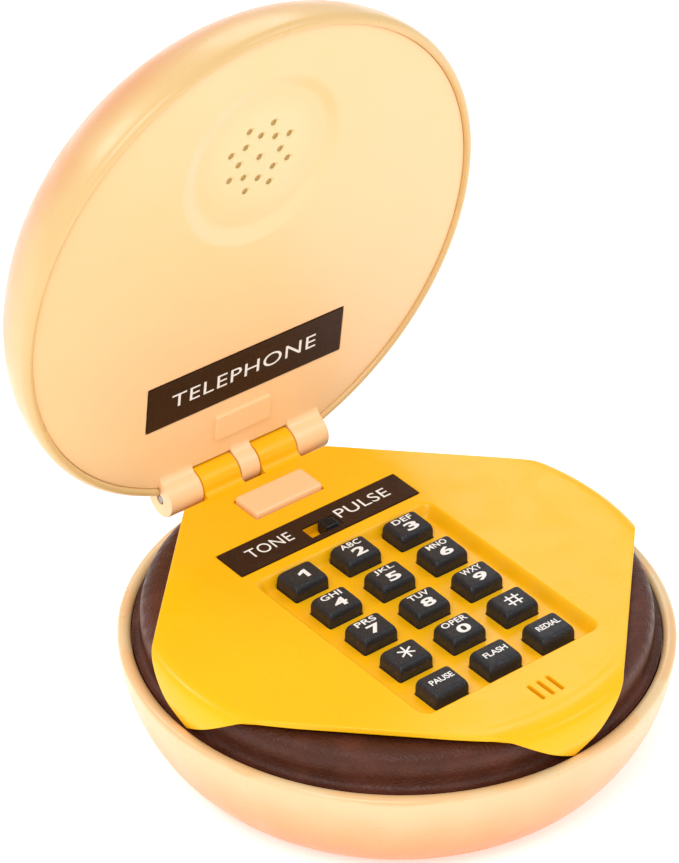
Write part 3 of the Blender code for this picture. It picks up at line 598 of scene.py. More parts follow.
def make_bun_base():
    pad_high = node_box("base_pad")[1]
    seat = pad_high.x + GAP
    seat_z = pad_high.z + GAP
    side_steps = 40
    outline = [(0.5, seat_z), (seat, seat_z), (seat, BUN_BOTTOM_Z + 0.2), (seat + 0.2, BUN_BOTTOM_Z)]
    outline += [(bun_radius_at(BUN_BOTTOM_Z) - 2.5, BUN_BOTTOM_Z)]
    for step in range(side_steps + 1):
        rise = (step / side_steps) ** 1.5
        z = BUN_BOTTOM_Z + 0.1 + (BUN_WIDEST_Z - BUN_BOTTOM_Z - 0.1) * rise
        outline.append((bun_radius_at(z), z))
    lip = (BUN_RADIUS - RIM_INNER_RADIUS) / 2
    outline += arc((BUN_RADIUS - lip, BUN_WIDEST_Z), (lip, RIM_TOP_Z - BUN_WIDEST_Z), 0, 180, 16)[1:]
    outline += [(RIM_INNER_RADIUS, LEDGE_Z), (63.5, LEDGE_Z), (63.5, 25.2)]
    outline += [(bun_radius_at(z) - BUN_WALL, z) for z in (21.5, 18.5, 15.5, 12.5, 10.0, 8.0, 6.0)]
    outline += [(54.5, BUN_FLOOR_TOP_Z), (0.5, BUN_FLOOR_TOP_Z)]
    bun = turned("bun_base", outline)
    holes = []
    for node in BASE_SCREWS:
        spot = middle_of(node)
        grow(bun, drill("boss", spot, 4.6, BUN_BOTTOM_Z + 1, POST_JOINT_Z, 32))
        ledge = POST_JOINT_Z - 4.0
        stepped = [(SCREW_RECESS_RADIUS + 0.3, -1), (SCREW_RECESS_RADIUS + 0.3, BUN_BOTTOM_Z)]
        stepped += [(SCREW_RECESS_RADIUS, BUN_BOTTOM_Z + 0.35), (SCREW_RECESS_RADIUS, ledge)]
        stepped += [(SCREW_HOLE_RADIUS, ledge), (SCREW_HOLE_RADIUS, POST_JOINT_Z + 1)]
        holes.append(turned("hole", stepped, spot, 32))
    jack_low, jack_high = node_box("line_jack")
    window = (jack_low.x - GAP, jack_high.x + GAP, 56, 75, jack_low.z - GAP, jack_high.z + GAP)
    holes.append(block("window", *window))
    ringer_low, ringer_high = node_box("ringer_knob")
    slot_sides = (ringer_low.x - GAP, ringer_high.x + GAP, -5.0, 5.0)
    holes.append(socket_cutter("slot", slot_sides, BUN_FLOOR_TOP_Z + 1, BUN_BOTTOM_Z, 0.4))
    cut(bun, *holes)
    place(polish(bun), "base", BUN_LOWER, "bun", ["bottom_bun"])


def make_patty():
    outer = [
        (55.0, 39.7), (59.0, 39.7), (61.6, 39.3), (63.3, 38.2), (64.1, 36.4), (64.2, 34.3),
        (64.0, 32.4), (64.3, 31.0), (65.2, 30.3), (66.3, 30.3),
    ]
    profile = smooth_path(outer, 0.35)
    profile += [(66.3, LEDGE_Z + GAP), (60.6, LEDGE_Z + GAP), (61.2, 32.0), (61.8, 37.0)]
    profile += [(60.6, 38.2), (59.4, 38.5), (55.0, 38.5)]
    ring = turned("patty", profile, closed=True)
    notch_floor = 35.6
    cut(ring, block("knuckle_notch", -26.3, 26.3, 58.7, 75, notch_floor, 45))
    cut(ring, block("wall_notch", -23.0, 23.0, 55.4, 75, notch_floor, 45))
    mic = middle_of("microphone_boot")
    cut(ring, drill("mic_notch", mic, 5.2, 36.0, 45, 40))
    place(polish(ring), "base", PATTY, "patty", ["patty_ring"])


# ---------------------------------------------------------------- cheese plate

PLATE_TOP_Z = 42.9
PLATE_THICKNESS = 1.8
FLAP_THICKNESS = 1.3
PLATE_HALF_DIAGONAL = 81.2
PLATE_CENTRE_Y = -0.5
PLATE_REAR_Y = 57.8
PLATE_LIP = 0.35               # rounding of the sheet's edge
FLAT_REACH = 57.3              # the flat middle of the sheet ends here
FOLD = [
    (59.0, 42.9), (61.5, 42.9), (64.0, 42.7), (65.7, 41.9), (66.7, 40.2), (67.3, 37.5),
    (67.4, 34.8), (66.6, 31.4),
]
FLAP_START = 63.9              # unrolled radius where the straight edges end
FLAP_LENGTH = 14.1
FLAP_HALF_WIDTH = 20.7
FLAP_TURN = 20.4               # degrees to each side of a corner that have the closest columns
TIP_ROUNDING = 0.25
RIPPLE = 0.06                  # height of the faint wave beside the fold
RIPPLE_LENGTH = 3.3
RIPPLE_SHARES = {270: 0.7, 0: 0.3, 180: 0.06}   # how strong it is at each corner's direction
KEY_FLOOR_Z = 39.7
FLOOR_UNDER_Z = 37.9
RECESS_HALF_WIDTH = 28.6
RECESS_FRONT_Y = -45.0
RECESS_REAR_Y = 22.8
RECESS_SLOPE = 3.0
KEY_NODES = [node for node in frame["nodes"] if node.startswith("key_")]

FOLD_KNOTS = [FOLD[0][0]]
for fold_here, fold_there in zip(FOLD, FOLD[1:]):
    FOLD_KNOTS.append(FOLD_KNOTS[-1] + math.dist(fold_here, fold_there))


def fold_point(reach):
    """Radius and height of the sheet's top face at an unrolled radius."""
    if reach <= FOLD_KNOTS[0]:
        return reach, PLATE_TOP_Z
    radius = curve_at(FOLD_KNOTS, [point[0] for point in FOLD], reach)
    height = curve_at(FOLD_KNOTS, [point[1] for point in FOLD], reach)
    beyond = max(0.0, reach - FOLD_KNOTS[-1])
    return radius - 0.18 * beyond, height - 0.98 * beyond


def fold_normal(reach):
    before = fold_point(reach - 0.05)
    after = fold_point(reach + 0.05)
    run = Vector((after[0] - before[0], after[1] - before[1])).normalized()
    return -run.y, run.x


def corner_turn(angle):
    """Signed degrees from the nearest corner of the square, and that corner's direction."""
    corner = 90 * round(angle / 90)
    return angle - corner, corner % 360


def flap_half_angle(reach):
    """Half the angle that a flap spans at an unrolled radius."""
    share = (reach - FLAP_START) / FLAP_LENGTH
    joined = math.degrees(math.asin(PLATE_HALF_DIAGONAL / (math.sqrt(2) * FLAP_START))) - 45
    width = FLAP_HALF_WIDTH * (1 - share) * (1 + 0.1 * share)
    match = joined / math.degrees(FLAP_HALF_WIDTH / FLAP_START)
    return math.degrees(width / fold_point(reach)[0]) * (1 + (match - 1) * (1 - share))


def edge_reach(angle):
    """Unrolled radius of the sheet's edge in a direction from its centre."""
    turn, corner = corner_turn(angle)
    radians = math.radians(abs(turn))
    straight = PLATE_HALF_DIAGONAL / (math.cos(radians) + math.sin(radians))
    if corner == 90:
        return min(straight, (PLATE_REAR_Y - PLATE_CENTRE_Y) / math.sin(math.radians(angle)))
    if straight <= FLAP_START:
        return straight
    low = FLAP_START
    high = FLAP_START + FLAP_LENGTH
    for _ in range(30):
        middle = (low + high) / 2
        if flap_half_angle(middle) > abs(turn):
            low = middle
        else:
            high = middle
    tip = FLAP_START + FLAP_LENGTH
    return tip - math.hypot(tip - low, TIP_ROUNDING)


def sheet_point(angle, reach, depth=0.0):
    """A point of the sheet, at a depth below its top face."""
    radius, z = fold_point(reach)
    turn, corner = corner_turn(angle)
    window = smooth_step((reach - 57.5) / 1.0) * smooth_step((62.8 - reach) / 1.0)
    window *= smooth_step((30 - abs(turn)) / 14)
    strength = RIPPLE * RIPPLE_SHARES.get(corner, 0.0) * window
    z += strength * math.cos(2 * math.pi * (reach - 59.1) / RIPPLE_LENGTH)
    normal_r, normal_z = fold_normal(reach)
    radius -= normal_r * depth
    z -= normal_z * depth
    radians = math.radians(angle)
    return radius * math.cos(radians), PLATE_CENTRE_Y + radius * math.sin(radians), z


def sheet_columns():
    """Directions for the sheet's columns, closer together on the flaps."""
    columns = []
    for corner in (180, 270, 360):
        columns += [corner + FLAP_TURN * step / 30 for step in range(-30, 31)]
    for corner in (180, 270):
        columns += [corner + FLAP_TURN + 49.2 * step / 14 for step in range(1, 14)]
    rear_corner = math.degrees(math.atan2(PLATE_REAR_Y - PLATE_CENTRE_Y,
                                          PLATE_HALF_DIAGONAL - PLATE_REAR_Y + PLATE_CENTRE_Y))
    side = rear_corner - FLAP_TURN
    columns += [FLAP_TURN + side * step / 14 for step in range(1, 15)]
    columns += [180 - FLAP_TURN - side * step / 14 for step in range(1, 15)]
    middle = 180 - 2 * rear_corner
    columns += [rear_corner + middle * step / 12 for step in range(1, 12)]
    return sorted(angle % 360 for angle in columns)


def sheet_thickness(reach):
    share = smooth_step((reach - 60) / 6)
    return PLATE_THICKNESS + (FLAP_THICKNESS - PLATE_THICKNESS) * share


def make_sheet():
    """The cheese slice itself: one sheet with a rounded edge, flat in the middle."""
    columns = sheet_columns()
    rows = 26
    rounding = 5
    edges = [edge_reach(angle) for angle in columns]
    inner = [min(edge - 0.8, FLAT_REACH) for edge in edges]

    def ring(share, depth_of):
        points = []
        for angle, start, edge in zip(columns, inner, edges):
            reach = start + (edge - PLATE_LIP - start) * share
            points.append(sheet_point(angle, reach, depth_of(reach)))
        return points

    def lip_ring(out, from_top):
        points = []
        for angle, edge in zip(columns, edges):
            reach = edge - PLATE_LIP + PLATE_LIP * out
            thickness = sheet_thickness(reach)
            depth = from_top if from_top >= 0 else thickness + from_top
            points.append(sheet_point(angle, reach, depth))
        return points

    rings = [ring(row / rows, sheet_thickness) for row in range(rows + 1)]
    for step in range(1, rounding + 1):
        turn = math.radians(90 * step / rounding)
        rings.append(lip_ring(math.sin(turn), -PLATE_LIP * (1 - math.cos(turn)) - 1e-6))
    for step in range(rounding):
        turn = math.radians(90 - 90 * step / rounding)
        rings.append(lip_ring(math.sin(turn), PLATE_LIP * (1 - math.cos(turn))))
    rings += [ring(row / rows, lambda reach: 0.0) for row in reversed(range(rows + 1))]
    return loft("cheese", rings)


def recess_sides(inset):
    side = RECESS_HALF_WIDTH - inset
    return -side, side, RECESS_FRONT_Y + inset, RECESS_REAR_Y - inset


def recess_layers(z_low, z_high, margin):
    layers = []
    for z in (z_low, z_high):
        inset = RECESS_SLOPE * (PLATE_TOP_Z - z) / (PLATE_TOP_Z - KEY_FLOOR_Z) - margin
        layers.append((z, *recess_sides(inset)))
    return layers


def recess_plug():
    """A cutter for the keypad's recess, with soft S-shaped walls."""
    rings = []

    def ring(inset, z):
        outline = rounded_rectangle(*recess_sides(inset), max(1.0, 3.2 - 0.7 * inset))
        rings.append([(x, y, z) for x, y in outline])

    steps = 14
    for step in range(steps + 1):
        share = 1 - (1 - 0.05) * step / steps
        ring(RECESS_SLOPE * share, PLATE_TOP_Z - (PLATE_TOP_Z - KEY_FLOOR_Z) * smooth_step(share))
    ring(-0.1, PLATE_TOP_Z + 0.03)
    ring(-0.1, PLATE_TOP_Z + 3)
    return loft("recess", rings)


KNUCKLE_RADIUS = 5.0
PIN_HOLE_RADIUS = 1.38
CENTRE_KNUCKLE = 3.0
BASE_KNUCKLE = (3.3, 15.1)
OUTER_KNUCKLE = (15.4, 25.7)


def plate_knuckle_outline():
    """(y, z) outline of a plate knuckle and its web, with a fillet between knuckle and plate."""
    fillet = 2.0
    fillet_z = PLATE_TOP_Z + fillet
    across = math.sqrt((KNUCKLE_RADIUS + fillet) ** 2 - (fillet_z - HINGE_Z) ** 2)
    fillet_y = HINGE_Y - across
    rise = math.degrees(math.asin((fillet_z - HINGE_Z) / (KNUCKLE_RADIUS + fillet)))
    under = PLATE_TOP_Z - PLATE_THICKNESS
    low_turn = math.degrees(math.asin((HINGE_Z - under) / KNUCKLE_RADIUS))
    outline = [(fillet_y - 0.6, under + 0.05), (fillet_y - 0.6, PLATE_TOP_Z - 0.05)]
    outline += arc((fillet_y, fillet_z), (fillet, fillet), 266, 360 - rise, 10)
    radii = (KNUCKLE_RADIUS, KNUCKLE_RADIUS)
    outline += arc((HINGE_Y, HINGE_Z), radii, 180 - rise, low_turn - 180, KNUCKLE_STEPS)[1:]
    return outline


def lid_knuckle_outline():
    """(y, z) outline, lid shut, of a lid knuckle with a fillet against the cover's face."""
    fillet = 2.5
    fillet_z = COVER_Z - fillet
    across = math.sqrt((KNUCKLE_RADIUS + fillet) ** 2 - (HINGE_Z - fillet_z) ** 2)
    fillet_y = HINGE_Y - across
    drop = math.degrees(math.asin((HINGE_Z - fillet_z) / (KNUCKLE_RADIUS + fillet)))
    top = COVER_Z + COVER_THICKNESS
    high_turn = math.degrees(math.asin((top - HINGE_Z) / KNUCKLE_RADIUS))
    outline = [(fillet_y - 0.6, top - 0.3), (fillet_y - 0.6, COVER_Z + 0.05)]
    outline += arc((fillet_y, fillet_z), (fillet, fillet), 94, drop, 10)
    radii = (KNUCKLE_RADIUS, KNUCKLE_RADIUS)
    outline += arc((HINGE_Y, HINGE_Z), radii, drop - 180, 180 - high_turn, KNUCKLE_STEPS)[1:]
    return outline


def knuckle(name, outline, low, high):
    """A knuckle whose end faces have rounded rims."""
    rim = 0.3
    stations = [(low, 1 - rim / KNUCKLE_RADIUS), (low + rim * 0.3, 1 - rim * 0.3 / KNUCKLE_RADIUS)]
    stations += [(low + rim, 1.0), (high - rim, 1.0)]
    stations += [(high - rim * 0.3, 1 - rim * 0.3 / KNUCKLE_RADIUS), (high, 1 - rim / KNUCKLE_RADIUS)]
    return along_x(name, outline, stations, (HINGE_Y, HINGE_Z))


def round_bore(name):
    outline = arc((HINGE_Y, HINGE_Z), (PIN_HOLE_RADIUS, PIN_HOLE_RADIUS), 0, 360, 32)[:-1]
    return along_x(name, outline, [(-30, 1.0), (30, 1.0)], (HINGE_Y, HINGE_Z))


def make_cheese():
    plate = make_sheet()
    under = PLATE_TOP_Z - PLATE_THICKNESS
    grow(plate, tower("tub", recess_layers(FLOOR_UNDER_Z, under + 0.4, 1.6), 2.0))
    grow(plate, block("slider_boss", -8, 8, 25.4, 34.6, 39.2, under + 0.5))
    grow(plate, block("rear_wall", -22.6, 22.6, 55.7, 57.5, 35.9, under + 0.5))
    outline = plate_knuckle_outline()
    grow(plate, knuckle("knuckle", outline, -BASE_KNUCKLE[1], -BASE_KNUCKLE[0]))
    grow(plate, knuckle("knuckle", outline, *BASE_KNUCKLE))
    cut(plate, recess_plug())
    openings = [round_bore("bore")]
    for node in KEY_NODES:
        openings.append(socket_cutter("hole", grown_sides(cap_sides(node), GAP), 36, KEY_FLOOR_Z, 0.6, 0.12))
    label = node_box("tone_pulse_label")
    seat = grown_sides(footprint(label), GAP)
    openings.append(socket_cutter("label_seat", seat, label[1].z - 0.7, PLATE_TOP_Z, 0.3, 0.12))
    openings.append(socket_cutter("hook_hole", grown_sides(HOOK_SIDES, GAP), 40, PLATE_TOP_Z, 0.5, 0.2))
    mic_x = middle_of("microphone_boot")[0]
    for index in range(3):
        x = mic_x + (index - 1) * 3.0
        sides = (x - 0.5, x + 0.5, -57.2, -51.1)
        openings.append(socket_cutter("mic_slot", sides, 40, PLATE_TOP_Z, 0.4, 0.4))
    cut(plate, *openings)
    cut(plate, block("pocket", *POCKET_SIDES, 40.0, 45))
    cut(plate, block("stem_slot", -3.5, 3.5, 29.0, 31.0, 38, 42))
    place(polish(plate), "base", CHEESE, "cheese", ["cheese_plate"])


# ---------------------------------------------------------------- keys and sliders

KEY_WIDTH = 10.1
KEY_DEPTH = 8.0
KEY_FLARE = 0.15                # the foot of a cap stands this much outside its nominal side
HOOK_SIDES = (-10.7, 10.7, 43.1, 52.5)
POCKET_SIDES = (-5.0, 5.2, 27.6, 32.4)
LEGENDS = {
    "key_1": ("", "1"), "key_2": ("ABC", "2"), "key_3": ("DEF", "3"), "key_4": ("GHI", "4"),
    "key_5": ("JKL", "5"), "key_6": ("MNO", "6"), "key_7": ("PRS", "7"), "key_8": ("TUV", "8"),
    "key_9": ("WXY", "9"), "key_0": ("OPER", "0"), "key_hash": ("", "#"),
}
WORD_KEYS = {"key_pause": "PAUSE", "key_flash": "FLASH", "key_redial": "REDIAL"}


def cap_sides(node):
    """The footprint of a key's cap above its flange."""
    x, y = middle_of(node)
    return x - KEY_WIDTH / 2, x + KEY_WIDTH / 2, y - KEY_DEPTH / 2, y + KEY_DEPTH / 2


def make_keycap(node):
    """A cap with upright sides, a nearly flat top and a broadly rounded front edge."""
    top = node_box(node)[1].z
    x_low, x_high, y_low, y_high = cap_sides(node)
    rings = []

    def ring(z, sides_in, front_in, rear_in, radius, tilt=0.0):
        sides = (x_low + sides_in, x_high - sides_in, y_low + front_in, y_high - rear_in)
        outline = rounded_rectangle(*sides, radius, 5)
        depth = y_high - y_low
        rings.append([(x, y, z - tilt * ((y_high - y) / depth) ** 2) for x, y in outline])

    for z in (36.8, 37.5):
        ring(z, -0.8, -0.85, -0.85, 0.5)
    for z in (37.52, KEY_FLOOR_Z):
        ring(z, -KEY_FLARE, -KEY_FLARE, -KEY_FLARE, 0.6)
    crown = 2.3
    side, front, rear = 0.9, 1.1, 0.75
    steps = 10
    for step in range(steps + 1):
        turn = math.radians(90 * step / steps)
        inward = 1 - math.cos(turn)
        flare = KEY_FLARE * (1 - inward)
        ring(top - crown + crown * math.sin(turn), side * inward - flare, front * inward - flare,
             rear * inward - flare, 0.6 + 0.5 * inward, 0.2 * math.sin(turn))
    for inset in (0.6, 1.3, 2.0):
        ring(top, side + inset, front + inset * 0.8, rear + inset * 0.8, 1.1, 0.2)
    return polish(loft(node.replace("key_", "keycap_"), rings), 40)


def surface_under(thing):
    work = bmesh.new()
    work.from_mesh(thing.data)
    tree = BVHTree.FromBMesh(work)
    work.free()
    return tree


def raised(name, mesh, centre, size, z, upward=True, surface=None, thickness=0.035):
    """Turn a flat-faced mesh into a thin raised print of a given size on a face or surface."""
    work = bmesh.new()
    work.from_mesh(mesh)
    long_edges = [edge for edge in work.edges if edge.calc_length() > 0.22]
    bmesh.ops.subdivide_edges(work, edges=long_edges, cuts=2)
    bmesh.ops.triangulate(work, faces=work.faces)
    low = [min(vertex.co[axis] for vertex in work.verts) for axis in range(2)]
    high = [max(vertex.co[axis] for vertex in work.verts) for axis in range(2)]
    for vertex in work.verts:
        x = ((vertex.co.x - low[0]) / (high[0] - low[0]) - 0.5) * size[0]
        y = ((vertex.co.y - low[1]) / (high[1] - low[1]) - 0.5) * size[1]
        lift = thickness if vertex.co.z > 0 else -thickness
        if not upward:
            y = -y
            lift = -lift
        spot = Vector((centre[0] + x, centre[1] + y, z))
        if surface:
            hit = surface.ray_cast((spot + Vector((0, 0, 5))) * MM, Vector((0, 0, -1)))
            spot.z = hit[0].z / MM
        vertex.co = (spot + Vector((0, 0, lift))) * MM
    bmesh.ops.recalc_face_normals(work, faces=work.faces)
    return polish(to_object(name, work), 40)


def text_mesh(text, weight=0.0, spacing=1.0):
    """A flat solid of some text in Blender's own sans-serif face, made bolder by a weight."""
    curve = bpy.data.curves.new("text", "FONT")
    curve.body = text
    curve.offset = weight
    curve.extrude = 0.05
    curve.space_character = spacing
    curve.resolution_u = 6
    thing = linked("text", curve)
    mesh = evaluated_mesh(thing)
    bpy.data.objects.remove(thing)
    return mesh


def flat_mesh(thing):
    """The mesh of a flat solid, in the units that raised() takes."""
    mesh = thing.data
    bpy.data.objects.remove(thing)
    mesh.transform(Matrix.Scale(1 / MM, 4))
    return mesh


def flat_outline(outline):
    return flat_mesh(loft("mark", [[(x, y, z) for x, y in outline] for z in (-0.05, 0.05)]))


def one_mesh():
    """A bold figure one with a thick flag."""
    outline = [(0.2, -1.5), (1.25, -1.5), (1.25, 1.5), (0.3, 1.5), (-1.25, 0.75), (-1.25, -0.05), (0.2, 0.45)]
    return flat_outline(outline)


def star_mesh(arms=6, half_width=0.11):
    """An asterisk with straight arms, as a flat solid of unit reach."""
    outline = []
    for arm in range(arms):
        angle = math.radians(90 + 360 * arm / arms)
        along = Vector((math.cos(angle), math.sin(angle)))
        across = Vector((-along.y, along.x)) * half_width
        notch = math.radians(90 + 360 * (arm + 0.5) / arms)
        depth = half_width / math.sin(math.pi / arms)
        outline += [along - across, along + across]
        outline.append(Vector((math.cos(notch), math.sin(notch))) * depth)
    return flat_outline([(point.x, point.y) for point in outline])


def hash_mesh(reach=1.0, bar=0.42, half_width=0.11):
    """A number sign of four straight bars, as a flat solid of unit reach."""
    number_sign = None
    for across in (False, True):
        for side in (-bar, bar):
            sides = (side - half_width, side + half_width, -reach, reach)
            if across:
                sides = sides[2:] + sides[:2]
            bar_block = block("bar", *sides, -0.05, 0.05)
            number_sign = grow(number_sign, bar_block) if number_sign else bar_block
    return flat_mesh(number_sign)


def print_on_key(name, mesh, node, cap, offset, size):
    x, y = middle_of(node)
    top = node_box(node)[1].z
    centre = (x + offset[0], y + offset[1])
    mark = raised(name, mesh, centre, size, top, surface=surface_under(cap), thickness=0.02)
    place(mark, node, INK)


def make_keys():
    for node in KEY_NODES:
        cap = make_keycap(node)
        label = node.replace("key_", "")
        if node in WORD_KEYS:
            mesh = text_mesh(WORD_KEYS[node], 0.018, 0.96)
            print_on_key(f"legend_{label}", mesh, node, cap, (0.1, 0.4), (7.0, 1.85))
        elif node == "key_star":
            print_on_key("legend_star", star_mesh(), node, cap, (0.1, 0.2), (4.2, 4.4))
        else:
            letters, digit = LEGENDS[node]
            drawn = {"1": one_mesh, "#": hash_mesh}
            mesh = drawn[digit]() if digit in drawn else text_mesh(digit, 0.032)
            wide, tall = {"1": (2.6, 3.0), "#": (4.5, 4.2)}.get(digit, (3.8, 3.1))
            low = -0.2 if not letters else -1.25
            print_on_key(f"legend_{label}", mesh, node, cap, (0.15, low), (wide, tall))
            if letters:
                width = 7.6 if len(letters) == 4 else 6.1
                mesh = text_mesh(letters, 0.018, 1.06)
                print_on_key(f"letters_{label}", mesh, node, cap, (-0.2, 2.1), (width, 1.95))
        place(cap, node, KEY_BLACK, "key", [node])


def make_hook_key():
    """The peach key that the shut lid presses, with a soft edge all round."""
    low, high = node_box("hook_key")
    under = PLATE_TOP_Z - PLATE_THICKNESS - GAP
    top = high.z
    layers = [(under - 0.9, *grown_sides(HOOK_SIDES, 1.1)), (under, *grown_sides(HOOK_SIDES, 1.1))]
    layers.append((under + 0.02, *HOOK_SIDES))
    edge = 0.75
    for step in range(7):
        turn = math.radians(15 * step)
        inset = edge * (1 - math.cos(turn))
        layers.append((top - edge + edge * math.sin(turn), *grown_sides(HOOK_SIDES, -inset)))
    key = tower("hook_button", layers, 0.8)
    middle_y = (HOOK_SIDES[2] + HOOK_SIDES[3]) / 2
    grow(key, drill("stem", (0, middle_y), 1.5, low.z, under - 0.5))
    place(polish(key, 40), "hook_key", PEACH, "cover", ["hook_key"])


def make_tone_knob():
    low, high = node_box("tone_pulse_knob")
    top = high.z
    sides = footprint((low, high))
    foot_top = PLATE_TOP_Z + 0.1
    knob = tower("tone_pulse_slider", [(40.25, *sides), (foot_top, *sides)], 0.3)
    cap = (low.x, low.x + 3.8, low.y + 0.25, high.y - 0.25)
    layers = [(foot_top - 0.4, *cap), (top - 0.5, *grown_sides(cap, -0.05))]
    layers.append((top - 0.25, *grown_sides(cap, -0.3)))
    grow(knob, tower("cap", layers, 0.3))
    ribs = 4
    pitch = (cap[1] - cap[0] - 0.5) / ribs
    for index in range(ribs):
        x = cap[0] + 0.25 + pitch * (index + 0.5)
        rib = [(top - 0.6, x - 0.25, x + 0.25, cap[2] + 0.35, cap[3] - 0.35)]
        rib.append((top, x - 0.13, x + 0.13, cap[2] + 0.45, cap[3] - 0.45))
        grow(knob, tower("rib", rib, 0.12, 3))
    grow(knob, block("stem", 1.6, 3.2, 29.4, 30.6, 36.5, 40.6))
    place(polish(knob, 35), "tone_pulse_knob", BLACK, "key", ["tone_pulse_knob"])


def make_ringer_knob():
    low, high = node_box("ringer_knob")
    sides = footprint((low, high))
    layers = [(low.z + 0.25, *grown_sides(sides, -0.2)), (low.z + 0.4, *sides), (high.z, *sides)]
    knob = tower("ringer_slider", layers, 0.3)
    ribs = 4
    pitch = (high.y - low.y - 0.6) / ribs
    for index in range(ribs):
        y = low.y + 0.3 + pitch * (index + 0.5)
        rib = [(low.z, low.x + 0.5, high.x - 0.5, y - 0.14, y + 0.14)]
        rib.append((low.z + 0.5, low.x + 0.3, high.x - 0.3, y - 0.3, y + 0.3))
        grow(knob, tower("rib", rib, 0.12, 3))
    place(polish(knob, 35), "ringer_knob", BLACK, "black_plastic", ["ringer_knob"])


def film_label(name, box, back_z, face_z):
    """A label that fills a box, with a fine bevel round its face."""
    sides = footprint(box)
    bevel = 0.06
    bevel_z = face_z + math.copysign(bevel, back_z - face_z)
    return tower(name, [(back_z, *sides), (bevel_z, *sides), (face_z, *grown_sides(sides, -bevel))], 0.25, 3)


def make_switch_label():
    low, high = node_box("tone_pulse_label")
    top = high.z
    strip = film_label("switch_label", (low, high), low.z, top)
    cut(strip, tower("window", [(40, *POCKET_SIDES), (45, *POCKET_SIDES)], 0.2, 3))
    place(polish(strip, 40), "base", FILM, "label", ["tone_pulse_label"])
    for name, text, centre, size in (
        ("label_tone", "TONE", (-15.4, 32.0), (13.8, 3.7)),
        ("label_pulse", "PULSE", (14.3, 31.7), (16.6, 3.7)),
    ):
        words = raised(name, text_mesh(text, 0.0, 1.05), centre, size, top, thickness=0.015)
        place(words, "base", INK)


# ---------------------------------------------------------------- feet, jack, screws and pin

def make_foot_pad():
    """A rubber disc with concentric grip ridges on its underside."""
    low, high = node_box("base_pad")
    radius = high.x
    outline = [(0.5, high.z), (radius - 0.2, high.z), (radius, high.z - 0.2), (radius, low.z + 0.3)]
    outline += [(radius - 0.3, low.z), (radius - 1.6, low.z)]
    ridge = radius - 1.6
    while ridge > 6:
        outline += [(ridge - 0.3, low.z + 0.3), (ridge - 1.5, low.z + 0.3), (ridge - 1.8, low.z)]
        outline += [(ridge - 3.0, low.z)]
        ridge -= 3.0
    outline.append((0.5, low.z))
    pad = turned("foot_pad", outline)
    place(polish(pad), "base", RUBBER, "rubber", ["base_pad"])


def make_case_screw(node, number):
    """A pan-head screw with a cross recess, seen up its hole in the base."""
    low, high = node_box(node)
    spot = middle_of(node)
    head = (high.x - low.x) / 2
    dome = [(0.3, low.z), (head * 0.55, low.z + 0.08), (head * 0.85, low.z + 0.4), (head, low.z + 0.9)]
    outline = dome + [(head, low.z + 1.8), (1.4, low.z + 1.8), (1.4, high.z - 1.0), (0.2, high.z)]
    screw = turned(f"case_screw_{number}", outline, spot, 32)
    arm = head * 0.62
    x, y = spot
    cut(screw, block("cross", x - arm, x + arm, y - 0.35, y + 0.35, low.z - 1, low.z + 1.1))
    cut(screw, block("cross", x - 0.35, x + 0.35, y - arm, y + arm, low.z - 1, low.z + 1.1))
    place(polish(screw), "base", STEEL, "steel", [node])


def make_hinge_pin():
    low, high = node_box("hinge_pin")
    radius = (high.z - low.z) / 2
    outline = arc((HINGE_Y, HINGE_Z), (radius, radius), 0, 360, 32)[:-1]
    end = high.x - 0.1
    stations = [(-end, 0.7), (-end + 0.15, 0.88), (-end + 0.4, 1.0)]
    stations += [(end - 0.4, 1.0), (end - 0.15, 0.88), (end, 0.7)]
    pin = along_x("pin", outline, stations, (HINGE_Y, HINGE_Z))
    place(polish(pin), "base", DULL_STEEL, "steel", ["hinge_pin"])


def make_line_jack():
    """The modular socket in the rear: a chamfered mouth, a latch notch and four contacts."""
    low, high = node_box("line_jack")
    body = block("jack_body", *footprint((low, high)), low.z, high.z)
    mouth = [(-4.9, 10.4), (4.9, 10.4), (4.9, 17.2), (-4.9, 17.2)]
    flared = [(-5.4, 9.9), (5.4, 9.9), (5.4, 17.7), (-5.4, 17.7)]
    depths = ((low.y + 2, mouth), (high.y - 0.6, mouth), (high.y + 0.05, flared), (high.y + 1, flared))
    rings = [[(x, y, z) for x, z in shape] for y, shape in depths]
    cut(body, loft("socket", rings))
    cut(body, block("latch", -1.8, 1.8, low.y + 5, high.y + 1, 17.0, 18.4))
    place(polish(body), "base", BLACK, "black_plastic", ["line_jack"])
    for index in range(4):
        x = (index - 1.5) * 1.1
        path = [(low.y + 2.2, 10.7), (high.y - 4.5, 10.75), (high.y - 3.4, 11.2), (low.y + 5.0, 13.6)]
        rings = []
        for y, z in smooth_path(path, 0.5):
            rings.append([(x - 0.18, y, z - 0.14), (x + 0.18, y, z - 0.14), (x + 0.18, y, z + 0.14),
                          (x - 0.18, y, z + 0.14)])
        place(polish(loft(f"jack_contact_{index + 1}", rings)), "base", GILT)


# ---------------------------------------------------------------- lid

LID_CENTRE_Y = -1.5
CROWN_LOW, CROWN_HIGH = shut_box("top_bun")
LID_RIM_Z = CROWN_LOW.z
LID_RADIUS = CROWN_HIGH.x
LID_WIDEST = 2.2
DOME_RISE = CROWN_HIGH.z - LID_RIM_Z - LID_WIDEST
LID_WALL = 2.2
COVER_RADIUS = shut_box("lid_cover")[1].x
COVER_Z = LID_RIM_Z + 1.0
COVER_THICKNESS = 2.0
LID_SEAM = 0.06                # visible gap between the cover and the crown
DISH_DEPTH = 1.25


